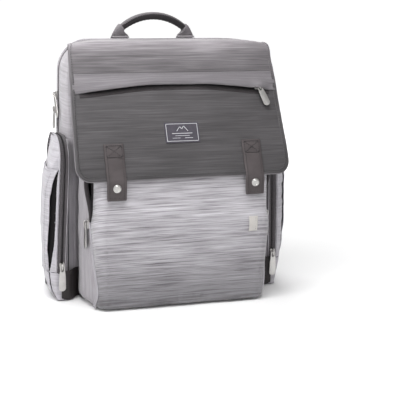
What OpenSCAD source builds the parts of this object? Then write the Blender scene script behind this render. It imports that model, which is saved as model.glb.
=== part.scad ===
// Backpack-style diaper bag: front flap with two snap straps, zipped main compartment,
// zipped front pocket, two arched side pockets, grab handle and shoulder straps.
// +Z up, front of the bag towards -Y, origin at the middle of the base, on the ground.

/* [Body] */
// width of the main compartment
body_w = 340; // [330:1:350]
// height of the main compartment
body_h = 416; // [412:1:420]
// front face of the main compartment
body_front = -21; // [-21:0.5:-16]
// back face of the main compartment
body_back = 78; // [76:0.5:80]
// padded wall thickness
wall = 4; // [3:0.25:4.5]
// radius of the top corners seen from the front
corner_r = 50; // [40:1:60]
// radius of the upright back corners
back_r = 30; // [20:1:34]

/* [Front pocket] */
// width over the front pocket panel
pocket_w = 290; // [280:1:294]
// height of the front pocket
pocket_h = 212; // [200:1:213]
// front face of the front pocket
pocket_front = -117; // [-117:0.5:-114]

/* [Side pockets] */
// height of the arched side pockets
side_h = 268; // [258:1:268]
// how far a side pocket stands out from the body
side_out = 37; // [34:0.5:40]
// top of the fixed lower part of a side pocket
boot_h = 46; // [40:1:48]

/* [Flap] */
// width of the flap at its fold
flap_w_top = 340; // [334:1:344]
// width of the flap near its lower edge
flap_w_low = 356; // [350:1:358]
// length of the flap from fold to lower edge
flap_l = 228; // [228:0.5:230]

/* [Straps and handle] */
// width of the snap straps
strap_w = 31; // [26:0.5:34]
// distance of each snap strap from the middle
strap_x = 116; // [100:1:120]
// thickness of the handle grip
grip_d = 14; // [11:0.5:15]
// thickness of the shoulder pads
pad_t = 11.6; // [8:0.2:14]

/* [Zips] */
// length of a zip puller
pull_l = 44; // [36:1:46]
// width of a zip puller
pull_w = 11.5; // [8:0.25:12]

/* [Hidden] */
$fn = 64;
fa = 25.44;
fy = -24;
fz = 420;
zip_y = 43;
half = body_w/2;
sx = half + side_out;
sy0 = -45;
sy1 = 62;

// a flat shape drawn as X across and Z up, given thickness from y0 to y1
module slab_y(y0, y1) translate([0, y1, 0]) rotate([90, 0, 0]) linear_extrude(y1 - y0) children();
// a flat shape drawn as Y across and Z up, given thickness from x0 to x1
module slab_x(x0, x1) translate([x0, 0, 0]) rotate([90, 0, 90]) linear_extrude(x1 - x0) children();
module both() { children(); mirror([1, 0, 0]) children(); }

// rounded rectangle, u0..u1 by z0..z1, with its own radius at the top and at the bottom
module rrect(u0, u1, z0, z1, rt, rb) {
  translate([u0, z0 + rb]) square([u1 - u0, z1 - z0 - rt - rb]);
  translate([u0 + rt, z1 - rt - 0.5]) square([u1 - u0 - 2*rt, rt + 0.5]);
  translate([u0 + rb, z0]) square([u1 - u0 - 2*rb, rb + 0.5]);
  for (s = [0, 1]) {
    translate([s ? u1 - rt : u0 + rt, z1 - rt]) circle(r = rt);
    translate([s ? u1 - rb : u0 + rb, z0 + rb]) circle(r = rb);
  }
}
// plan of the main compartment, rounded at the back
module body_plan(hw, yb, r) {
  translate([-hw, -60]) square([2*hw, 60 + yb - r]);
  translate([-hw + r, yb - r - 0.5]) square([2*(hw - r), r + 0.5]);
  for (s = [-1, 1]) translate([s*(hw - r), yb - r]) circle(r = r);
}
// solid block of the main compartment, drawn in by t on every side
module body_block(t, y0, y1, zb) {
  intersection() {
    slab_y(y0, y1) rrect(-half + t, half - t, zb, body_h - t, corner_r - t, 12 - t);
    translate([0, 0, -5]) linear_extrude(body_h + 10) body_plan(half - t, body_back - t, back_r - t);
  }
}

module body_shell() color([0.66, 0.65, 0.67]) difference() {
  union() {
    slab_y(body_front, zip_y) rrect(-half, half, 0, body_h, corner_r, 12);
    intersection() {
      slab_y(zip_y - 1, zip_y + 4) rrect(-half, half, 0, body_h, corner_r, 12);
      translate([-300, 0, -1]) cube([600, 100, 271]);
    }
  }
  slab_y(body_front + wall, zip_y + 10) rrect(-half + wall, half - wall, wall, body_h - wall, corner_r - wall, 12 - wall);
}
module body_back_shell() color([0.62, 0.61, 0.63]) difference() {
  body_block(0, zip_y + 4.1, body_back, 0);
  body_block(wall, zip_y - 10, body_back - wall, wall);
}
module main_zip() color([0.08, 0.08, 0.09]) intersection() {
  difference() {
    slab_y(zip_y + 0.1, zip_y + 3.9) rrect(-half, half, 0, body_h, corner_r, 12);
    slab_y(zip_y - 5, zip_y + 10) rrect(-half + wall, half - wall, wall, body_h - wall, corner_r - wall, 12 - wall);
  }
  translate([-300, 0, 270.2]) cube([600, 100, 300]);
}
module lining() color([0.35, 0.34, 0.36]) difference() {
  body_block(wall + 0.3, body_front + wall + 0.3, body_back - wall - 0.3, wall + 3.6);
  body_block(wall + 1.5, body_front + wall + 1.5, body_back - wall - 1.5, wall + 4.8);
  translate([-300, zip_y - 1, 270]) cube([600, 6, 300]);
}
module base_board() color([0.12, 0.12, 0.12]) translate([-half + 20, body_front + 8, wall + 0.2])
  cube([body_w - 40, body_back - body_front - 30, 3]);
module inner_pocket() color([0.45, 0.44, 0.46]) difference() {
  translate([-120, body_front + wall + 1.8, 60]) cube([240, 9, 170]);
  translate([-118.8, body_front + wall + 3, 61.2]) cube([237.6, 6.6, 180]);
}
module back_panel() color([0.28, 0.27, 0.28]) slab_y(body_back + 0.2, body_back + 8) rrect(-132, 132, 18, 392, 40, 30);

module front_panel() color([0.71, 0.70, 0.72]) difference() {
  intersection() {
    slab_y(pocket_front, -86.3) rrect(-pocket_w/2, pocket_w/2, 5, pocket_h, 12, 14);
    translate([0, 0, -5]) linear_extrude(300) union() {
      translate([-pocket_w/2, pocket_front + 14]) square([pocket_w, 40]);
      translate([-pocket_w/2 + 14, pocket_front]) square([pocket_w - 28, 20]);
      for (s = [-1, 1]) translate([s*(pocket_w/2 - 14), pocket_front + 14]) circle(r = 14);
    }
  }
  slab_y(pocket_front + 4, -80) rrect(-pocket_w/2 + 4, pocket_w/2 - 4, 9, pocket_h - 4, 10, 10);
}
module front_gusset() color([0.66, 0.65, 0.67]) difference() {
  slab_y(-86, body_front - 0.3) rrect(-150, 150, 0, 214, 14, 14);
  slab_y(-90, body_front + 1) rrect(-147, 147, 3, 211, 11, 11);
  for (s = [-1, 1]) translate([s*148.5 - 4, -87, 30]) cube([8, 5, 172]);
}
module front_zips() color([0.08, 0.08, 0.09]) both() translate([-149.7, -85.8, 30.2]) cube([2.5, 3.6, 171.6]);

// outline of the left side pocket, seen from the side
module arch(t, z0) rrect(sy0 + t, sy1 - t, z0, side_h - t, 40 - t, 4);
module side_plan(t) {
  translate([-half - 20, sy0 + t]) square([20, sy1 - sy0 - 2*t]);
  translate([-sx + t, sy0 + 16]) square([side_out, sy1 - sy0 - 32]);
  translate([-sx + 16, sy0 + t]) square([side_out - 16, sy1 - sy0 - 2*t]);
  for (y = [sy0 + 16, sy1 - 16]) translate([-sx + 16, y]) circle(r = 16 - t);
}
module pouch_left() {
  slab_x(-half - 3, -half - 0.2) arch(0, 3);
  difference() {
    translate([0, 0, 3]) linear_extrude(boot_h - 3) side_plan(0);
    translate([0, 0, 6]) linear_extrude(boot_h) difference() {
      side_plan(3);
      translate([-half - 3, -100]) square([20, 300]);
    }
    translate([-half - 0.2, -100, 0]) cube([50, 300, 100]);
  }
}
module side_pouches() color([0.64, 0.63, 0.65]) both() pouch_left();
module side_zips() color([0.08, 0.08, 0.09]) both() difference() {
  slab_x(-half - 21, -half - 3.2) arch(0, 3);
  slab_x(-half - 26, -half - 1) arch(3, 6);
  translate([-half - 30, -100, -10]) cube([40, 300, boot_h + 10.2]);
}
module door_left() difference() {
  intersection() {
    slab_x(-sx, -half - 21.2) rrect(sy0, sy1, boot_h + 1, side_h, 40, 4);
    translate([0, 0, boot_h - 5]) linear_extrude(300) union() {
      translate([-sx + 8, sy0]) square([side_out, sy1 - sy0]);
      translate([-sx, sy0 + 8]) square([20, sy1 - sy0 - 16]);
      for (y = [sy0 + 8, sy1 - 8]) translate([-sx + 8, y]) circle(r = 8);
    }
  }
  slab_x(-sx + 3, -half) rrect(sy0 + 3, sy1 - 3, boot_h + 4, side_h - 3, 37, 3);
}
module side_door_left() color([0.70, 0.69, 0.71]) door_left();
module side_door_right() color([0.70, 0.69, 0.71]) mirror([1, 0, 0]) door_left();
module overlay_left() slab_x(-sx - 2.2, -sx - 0.2) rrect(sy0 + 10, sy1 - 18, boot_h + 6, 200, 6, 6);
module side_overlay_left() color([0.72, 0.71, 0.73]) overlay_left();
module side_overlay_right() color([0.72, 0.71, 0.73]) mirror([1, 0, 0]) overlay_left();

module base_guards() color([0.10, 0.10, 0.10]) both() linear_extrude(50)
  polygon([[-half + 0.3, -44], [-150.3, -32], [-150.3, -21.4], [-half + 0.3, -21.4]]);
module handle_anchors() color([0.34, 0.33, 0.34]) both() translate([-71, 66, body_h + 0.2]) cube([28, 11, 420 - body_h]);
module shoulder_yoke() color([0.20, 0.20, 0.21]) slab_y(body_back + 8.2, body_back + 10) rrect(-100, 100, 372, 397, 8, 4);
module lower_anchors() color([0.20, 0.20, 0.21]) both() slab_y(body_back + 8.2, body_back + 10) polygon([[98, 28], [128, 28], [124, 60], [104, 66]]);
module snap_studs() color([0.75, 0.75, 0.76]) both() translate([-strap_x, pocket_front - 0.1, 201]) rotate([90, 0, 0]) {
  cylinder(r = 6, h = 1.2);
  cylinder(r = 2, h = 3.6);
}
module tab_label() color([0.72, 0.70, 0.66]) translate([107, pocket_front - 1.7, 120]) cube([16, 1.6, 24]);

module flap_frame() translate([0, fy, fz]) rotate([-fa, 0, 0]) children();
// outline of the hanging flap, drawn in by t
module flap_outline(t) {
  polygon([[-flap_w_low/2 + t, -flap_l + 22], [flap_w_low/2 - t, -flap_l + 22], [flap_w_top/2 - t, -3 - t], [-flap_w_top/2 + t, -3 - t]]);
  translate([-flap_w_low/2 + 22, -flap_l + t]) square([flap_w_low - 44, 40]);
  for (s = [-1, 1]) translate([s*(flap_w_low/2 - 22), -flap_l + 22]) circle(r = 22 - t);
}
module flap_seam() color([0.30, 0.29, 0.30]) translate([-half + corner_r, 15.8, body_h + 0.2]) cube([body_w - 2*corner_r, 7.2, 3.2]);
module flap_top_sheet() color([0.42, 0.41, 0.42]) translate([-flap_w_top/2, -22, fz - 2.5]) cube([flap_w_top, 35.6, 2.5]);
module flap_panel() color([0.36, 0.35, 0.36]) flap_frame() slab_y(0.2, 3) flap_outline(3.1);
module flap_binding() color([0.25, 0.24, 0.25]) flap_frame() slab_y(-0.2, 3.3) difference() {
  flap_outline(0);
  flap_outline(3);
}
module flap_welt() color([0.40, 0.39, 0.40]) flap_frame() slab_y(-2.8, 0.1) translate([-165, -78]) square([330, 26]);
module flap_zip() color([0.08, 0.08, 0.09]) flap_frame() slab_y(-0.9, 0.1) translate([-158, -87]) square([316, 8]);
module woven_label() color([0.22, 0.22, 0.24]) flap_frame() slab_y(-1.1, 0.1) translate([-29, -172]) square([58, 34]);
module strap_patches() color([0.33, 0.31, 0.30]) flap_frame() both() slab_y(-2.4, 0.1)
  translate([-strap_x - strap_w/2, -194]) square([strap_w, 23]);
module tongue_left() difference() {
  union() {
    flap_frame() slab_y(-2.7, -0.5) translate([-strap_x - strap_w/2, -229.5]) square([strap_w, 35]);
    translate([-strap_x - strap_w/2, -125.4, 182]) cube([strap_w, 2.2, 32.6]);
  }
  translate([-strap_x, -110, 201]) rotate([90, 0, 0]) cylinder(r = 2.5, h = 40);
}
module strap_left() color([0.33, 0.31, 0.30]) tongue_left();
module strap_right() color([0.33, 0.31, 0.30]) mirror([1, 0, 0]) tongue_left();
module snap_l() translate([-strap_x, 0, 201]) rotate([90, 0, 0]) difference() {
  union() {
    translate([0, 0, 125.6]) cylinder(r = 6.5, h = 1.4);
    translate([0, 0, 127]) cylinder(r1 = 6.5, r2 = 4.5, h = 1);
    translate([0, 0, 122.8]) cylinder(r = 2.2, h = 3);
    translate([0, 0, 119.4]) cylinder(r = 6, h = 3.6);
  }
  translate([0, 0, 119]) cylinder(r = 3.3, h = 2.6);
}
module snap_left() color([0.78, 0.78, 0.79]) snap_l();
module snap_right() color([0.78, 0.78, 0.79]) mirror([1, 0, 0]) snap_l();

module handle_grip() color([0.16, 0.16, 0.17]) intersection() {
  translate([0, 72, 367]) rotate([90, 0, 0]) rotate_extrude() translate([86, 0]) circle(d = grip_d);
  translate([-80, 40, 436.2]) cube([160, 60, 60]);
}
// webbing ends: thin at the foot, where they bend, and full at the grip
module handle_webbing() color([0.42, 0.41, 0.42]) both() intersection() {
  slab_y(60, 84) polygon([[-71, 420.4], [-43, 420.4], [-39.5, 436], [-61.5, 436]]);
  slab_x(-80, -30) union() {
    translate([72, 421.3]) circle(r = 0.9);
    polygon([[71.15, 421.5], [72.85, 421.5], [75.5, 434.5], [75.5, 436], [68.5, 436], [68.5, 434.5]]);
  }
}

module pad_r() slab_y(body_back + 10.4, body_back + 10.4 + pad_t) polygon([[30, 388], [85, 388], [92, 200], [48, 200]]);
module pad_left() color([0.26, 0.26, 0.27]) mirror([1, 0, 0]) pad_r();
module pad_right() color([0.26, 0.26, 0.27]) pad_r();
module web_r() slab_y(body_back + 10.4, body_back + 12) polygon([[60, 192], [84, 192], [124, 45], [101, 45]]);
module webbing_left() color([0.15, 0.15, 0.16]) mirror([1, 0, 0]) web_r();
module webbing_right() color([0.15, 0.15, 0.16]) web_r();
module buckle_r() difference() {
  slab_y(body_back + 12.4, body_back + 16.4) rrect(54, 92, 166, 196, 3, 3);
  slab_y(body_back + 10, body_back + 20) rrect(59, 87, 171, 178, 1, 1);
  slab_y(body_back + 10, body_back + 20) rrect(59, 87, 184, 191, 1, 1);
}
module buckle_left() color([0.07, 0.07, 0.07]) mirror([1, 0, 0]) buckle_r();
module buckle_right() color([0.07, 0.07, 0.07]) buckle_r();

// zip slider standing on a tape face at y = 0, outward towards -Y, run along Z
module slider(t) {
  translate([-4.5, -4.2, -7]) cube([9, 4, 14]);
  rotate([0, t, 0]) translate([-1.3, -7.6, -4.6]) cube([2.6, 3.8, 4]);
}
// puller hanging from a slider, turned by t in the plane of the tape
module puller(t, l) rotate([0, t, 0]) slab_y(-6.9, -5.3) difference() {
  union() {
    translate([-pull_w/2, 4 - l + pull_w/2]) square([pull_w, l - pull_w/2 - 2]);
    translate([-pull_w/2 + 2, 4 - l + pull_w/2]) square([pull_w - 4, l - pull_w/2]);
    translate([0, 4 - l + pull_w/2]) circle(d = pull_w);
    for (s = [-1, 1]) translate([s*(pull_w/2 - 2), 2]) circle(r = 2);
  }
  translate([-2.3, -6.7]) square([4.6, 7.7]);
}
module at_main(z) translate([-half, zip_y + 2, z]) rotate([0, 0, -90]) children();
module at_front_left() translate([-150, -84, 137]) rotate([0, 0, -90]) children();
module at_side_left() translate([-half - 15, sy0, 58]) children();
module at_flap() flap_frame() translate([142, -0.9, -82.5]) children();

module main_slider_upper() color([0.75, 0.75, 0.76]) at_main(325) slider(-35);
module main_slider_lower() color([0.75, 0.75, 0.76]) at_main(302) slider(12);
module main_puller_upper() color([0.75, 0.75, 0.76]) at_main(325) puller(-35, pull_l);
module main_puller_lower() color([0.75, 0.75, 0.76]) at_main(302) puller(12, 38);
module flap_slider() color([0.75, 0.75, 0.76]) at_flap() {
  translate([-7, -4.2, -3.9]) cube([14, 4, 8]);
  rotate([0, -18, 0]) translate([-1.3, -7.6, -4.6]) cube([2.6, 3.8, 4]);
}
module flap_puller() color([0.75, 0.75, 0.76]) at_flap() puller(-18, 38);
module front_slider_left() color([0.75, 0.75, 0.76]) at_front_left() slider(0);
module front_slider_right() color([0.75, 0.75, 0.76]) mirror([1, 0, 0]) at_front_left() slider(0);
module front_puller_left() color([0.75, 0.75, 0.76]) at_front_left() puller(0, pull_l);
module front_puller_right() color([0.75, 0.75, 0.76]) mirror([1, 0, 0]) at_front_left() puller(0, pull_l);
module side_slider_left() color([0.75, 0.75, 0.76]) at_side_left() slider(0);
module side_slider_right() color([0.75, 0.75, 0.76]) mirror([1, 0, 0]) at_side_left() slider(0);
module side_puller_left() color([0.75, 0.75, 0.76]) at_side_left() puller(0, pull_l);
module side_puller_right() color([0.75, 0.75, 0.76]) mirror([1, 0, 0]) at_side_left() puller(0, pull_l);

body_shell();
body_back_shell();
main_zip();
lining();
base_board();
inner_pocket();
back_panel();
front_panel();
front_gusset();
front_zips();
side_pouches();
side_zips();
base_guards();
handle_anchors();
shoulder_yoke();
lower_anchors();
snap_studs();
tab_label();
flap_seam();
flap_top_sheet();
flap_panel();
flap_binding();
flap_welt();
flap_zip();
woven_label();
strap_patches();
strap_left();
strap_right();
snap_left();
snap_right();
handle_grip();
handle_webbing();
pad_left();
pad_right();
webbing_left();
webbing_right();
buckle_left();
buckle_right();
side_door_left();
side_door_right();
side_overlay_left();
side_overlay_right();
main_slider_upper();
main_slider_lower();
flap_slider();
front_slider_left();
front_slider_right();
side_slider_left();
side_slider_right();
main_puller_upper();
main_puller_lower();
flap_puller();
front_puller_left();
front_puller_right();
side_puller_left();
side_puller_right();
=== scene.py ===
import bpy, bmesh, math
import numpy as np
from math import sin, cos, pi, radians
from mathutils import Vector, Matrix


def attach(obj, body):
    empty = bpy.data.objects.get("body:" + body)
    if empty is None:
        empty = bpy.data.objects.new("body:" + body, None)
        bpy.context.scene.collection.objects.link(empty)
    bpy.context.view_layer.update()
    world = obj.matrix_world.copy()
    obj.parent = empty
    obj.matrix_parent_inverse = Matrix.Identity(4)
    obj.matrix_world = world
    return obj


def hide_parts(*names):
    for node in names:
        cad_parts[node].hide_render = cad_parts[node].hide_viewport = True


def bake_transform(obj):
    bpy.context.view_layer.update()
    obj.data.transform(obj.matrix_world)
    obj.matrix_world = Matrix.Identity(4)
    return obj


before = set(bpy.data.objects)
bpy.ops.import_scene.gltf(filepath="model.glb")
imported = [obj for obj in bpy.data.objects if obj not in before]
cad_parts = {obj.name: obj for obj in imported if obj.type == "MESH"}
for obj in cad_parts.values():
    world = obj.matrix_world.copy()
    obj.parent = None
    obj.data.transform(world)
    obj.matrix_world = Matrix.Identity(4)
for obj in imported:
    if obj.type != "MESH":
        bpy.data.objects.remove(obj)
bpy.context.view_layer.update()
scn = bpy.context.scene
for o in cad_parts.values():
    for p in o.data.polygons:
        p.use_smooth = False

# ------------------------------------------------------------------ materials
def srgb(*c):
    return [((x / 255) / 12.92 if x / 255 <= 0.04045 else ((x / 255 + 0.055) / 1.055) ** 2.4) for x in c]


class Mat:
    def __init__(self, name, **inputs):
        self.m = bpy.data.materials.new(name)
        self.m.use_nodes = True
        self.t = self.m.node_tree
        self.t.nodes.clear()
        self.out = self.t.nodes.new("ShaderNodeOutputMaterial")
        self.b = self.n("ShaderNodeBsdfPrincipled", **inputs)
        self.l(self.b.outputs[0], self.out.inputs[0])

    def n(self, kind, **inputs):
        node = self.t.nodes.new(kind)
        for k, v in inputs.items():
            k = k.replace("_", " ")
            if k in node.inputs:
                node.inputs[k].default_value = v
        return node

    def l(self, a, b):
        self.t.links.new(a, b)

    def coord(self, kind, scale):
        c = self.n("ShaderNodeTexCoord")
        mp = self.n("ShaderNodeMapping")
        mp.inputs["Scale"].default_value = scale
        self.l(c.outputs[kind], mp.inputs["Vector"])
        return mp.outputs[0]

    def noise(self, vec, scale=1.0, detail=3.0, rough=0.55, dist=0.0):
        nz = self.n("ShaderNodeTexNoise", Scale=scale, Detail=detail, Roughness=rough, Distortion=dist)
        self.l(vec, nz.inputs["Vector"])
        return nz.outputs[0]

    def ramp(self, fac, stops):
        r = self.n("ShaderNodeValToRGB")
        e = r.color_ramp.elements
        while len(e) < len(stops):
            e.new(0.5)
        for el, (p, c) in zip(e, stops):
            el.position = p
            el.color = (*c, 1)
        self.l(fac, r.inputs[0])
        return r.outputs[0]

    def math(self, op, a, b=None, clamp=False):
        m = self.n("ShaderNodeMath")
        m.operation = op
        m.use_clamp = clamp
        for i, x in enumerate((a, b)):
            if x is None:
                continue
            if isinstance(x, (int, float)):
                m.inputs[i].default_value = x
            else:
                self.l(x, m.inputs[i])
        return m.outputs[0]

    def mix(self, fac, a, b, kind="MIX"):
        m = self.n("ShaderNodeMix")
        m.data_type = "RGBA"
        m.blend_type = kind
        for i, x in ((0, fac), (6, a), (7, b)):
            if isinstance(x, (int, float)):
                m.inputs[i].default_value = x
            elif isinstance(x, (list, tuple)):
                m.inputs[i].default_value = (*x, 1)
            else:
                self.l(x, m.inputs[i])
        return m.outputs[2]

    def bump(self, height, strength, dist):
        b = self.n("ShaderNodeBump", Strength=strength, Distance=dist)
        self.l(height, b.inputs["Height"])
        self.l(b.outputs[0], self.b.inputs["Normal"])

    def color(self, c):
        self.l(c, self.b.inputs["Base Color"])


def heather(name, dark, mid, light, kind="UV", su=22, sv=420, contrast=1.0, sheen=0.35, rough=0.9, weave=0.0011, bump=0.5, fine=1.0, sheen_tint=(1, 1, 1), second=None, drift=0.14, spec=0.25, painted_shade_by_height=None):
    """Yarn-dyed cloth: long streaks along U, a fine cross weave, slow shade drift, and optional painted light and shade
    that changes with height.
    """
    m = Mat(name, Roughness=rough)
    m.b.inputs["Sheen Weight"].default_value = sheen
    m.b.inputs["Sheen Roughness"].default_value = 0.45
    m.b.inputs["Sheen Tint"].default_value = (*sheen_tint, 1)
    m.b.inputs["Specular IOR Level"].default_value = spec
    v1 = m.coord(kind, (su, sv, sv if kind != "UV" else 1))
    s1 = m.noise(v1, 1.0, 4, 0.62)
    su2, sv2 = second or (su * 2.6, sv * 2.4)
    v2 = m.coord(kind, (su2, sv2, sv2 if kind != "UV" else 1))
    s2 = m.noise(v2, 1.0, 2, 0.5)
    v3 = m.coord("Object", (9, 9, 22))
    s3 = m.noise(v3, 1.0, 2, 0.5)
    mixd = m.math("ADD", m.math("MULTIPLY", s1, 0.62), m.math("MULTIPLY", s2, 0.30 * fine))
    mixd = m.math("ADD", mixd, m.math("MULTIPLY", s3, drift))
    off = 0.62 / 2 + 0.15 * fine + drift / 2
    k = 0.5
    f = m.math("ADD", m.math("MULTIPLY", m.math("SUBTRACT", mixd, off), 2.3 * contrast), k, True)
    c = m.ramp(f, [(0.0, dark), (0.5, mid), (1.0, light)])
    if painted_shade_by_height:   # painted light and shade with height, metres against gain: a multiplier that lightens or darkens the cloth for how light falls on it
        sp = m.n("ShaderNodeSeparateXYZ")
        m.l(m.coord("Object", (2, 2, 2)), sp.inputs[0])
        c = m.mix(1.0, c, m.ramp(sp.outputs[2], [(2 * z, (g, g, g)) for z, g in painted_shade_by_height]), "MULTIPLY")
    m.color(c)
    w = []
    for d in ("X", "Y"):
        wv = m.n("ShaderNodeTexWave")
        wv.wave_type = "BANDS"
        wv.bands_direction = d
        wv.inputs["Scale"].default_value = 2 * pi / weave / 20
        wv.inputs["Distortion"].default_value = 0.6
        wv.inputs["Detail"].default_value = 1
        wv.inputs["Detail Scale"].default_value = 2
        m.l(m.coord("UV" if kind == "UV" else "Object", (1, 1, 1)), wv.inputs["Vector"])
        w.append(wv.outputs["Fac"])
    h = m.math("ADD", m.math("MULTIPLY", w[0], 0.35), m.math("MULTIPLY", w[1], 0.35))
    h = m.math("ADD", h, m.math("MULTIPLY", s1, 1.4))
    m.bump(h, bump, 0.0006)
    return m.m


def plain_cloth(name, base, var=0.25, weave=0.0012, rough=0.9, sheen=0.2, bump=0.5, rib=0):
    m = Mat(name, Roughness=rough)
    m.b.inputs["Sheen Weight"].default_value = sheen
    m.b.inputs["Specular IOR Level"].default_value = 0.25
    nz = m.noise(m.coord("Object", (1, 1, 1)), 160, 3)
    nz2 = m.noise(m.coord("Object", (1, 1, 1)), 14, 2)
    f = m.math("ADD", m.math("MULTIPLY", nz, 0.6), m.math("MULTIPLY", nz2, 0.4))
    d = [x * (1 - var) for x in base]
    li = [x * (1 + var) for x in base]
    m.color(m.ramp(f, [(0.3, d), (0.5, base), (0.72, li)]))
    wv = m.n("ShaderNodeTexWave")
    wv.wave_type = "BANDS"
    wv.bands_direction = "DIAGONAL" if not rib else ("Y" if rib == 2 else "X")
    wv.inputs["Scale"].default_value = 2 * pi / weave / 20
    wv.inputs["Distortion"].default_value = 0.4
    m.l(m.coord("UV" if rib else "Object", (1, 1, 1)), wv.inputs["Vector"])
    m.bump(m.math("ADD", m.math("MULTIPLY", wv.outputs["Fac"], 0.7), nz), bump, 0.0005)
    return m.m


def leatherette(name, base):
    m = Mat(name, Roughness=0.62)
    m.b.inputs["Specular IOR Level"].default_value = 0.35
    o = m.coord("Object", (1, 1, 1))
    vor = m.n("ShaderNodeTexVoronoi", Scale=900)
    m.l(o, vor.inputs["Vector"])
    nz = m.noise(o, 60, 4)
    big = m.noise(o, 18, 2)
    f = m.math("ADD", m.math("MULTIPLY", nz, 0.5), m.math("MULTIPLY", big, 0.5))
    m.color(m.ramp(f, [(0.3, [x * 0.78 for x in base]), (0.5, base), (0.75, [x * 1.3 for x in base])]))
    m.l(m.math("ADD", m.math("MULTIPLY", nz, 0.25), 0.5), m.b.inputs["Roughness"])
    m.bump(m.math("ADD", vor.outputs[0], nz), 0.35, 0.0003)
    return m.m


def metal(name, base, rough=0.3):
    m = Mat(name, Metallic=1.0, Roughness=rough)
    o = m.coord("Object", (1, 1, 12))
    nz = m.noise(o, 300, 3)
    big = m.noise(m.coord("Object", (1, 1, 1)), 90, 2)
    m.color(m.ramp(big, [(0.3, [x * 0.88 for x in base]), (0.7, base)]))
    m.l(m.math("ADD", m.math("MULTIPLY", nz, 0.22), rough - 0.1), m.b.inputs["Roughness"])
    m.bump(nz, 0.08, 0.0002)
    return m.m


def plastic(name, base, rough=0.45):
    m = Mat(name, Roughness=rough)
    nz = m.noise(m.coord("Object", (1, 1, 1)), 420, 3)
    big = m.noise(m.coord("Object", (1, 1, 1)), 40, 2)
    m.color(m.ramp(big, [(0.3, [x * 0.8 for x in base]), (0.7, [x * 1.25 for x in base])]))
    m.l(m.math("ADD", m.math("MULTIPLY", nz, 0.2), rough - 0.08), m.b.inputs["Roughness"])
    m.bump(nz, 0.12, 0.0002)
    return m.m


def air_mesh(name, base):
    m = Mat(name, Roughness=0.95)
    m.b.inputs["Sheen Weight"].default_value = 0.25
    vor = m.n("ShaderNodeTexVoronoi", Scale=260)
    vor.feature = "DISTANCE_TO_EDGE"
    vor.inputs["Randomness"].default_value = 0.25
    m.l(m.coord("Object", (1, 0.3, 1)), vor.inputs["Vector"])
    nz = m.noise(m.coord("Object", (1, 1, 1)), 30, 2)
    f = m.math("MULTIPLY", vor.outputs[0], 6, True)
    c = m.mix(m.math("ADD", m.math("MULTIPLY", f, 0.7), m.math("MULTIPLY", nz, 0.3)), [x * 1.7 for x in base], [x * 0.45 for x in base])
    m.color(c)
    m.bump(f, -0.6 if False else 0.6, -0.0006)
    return m.m


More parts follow.
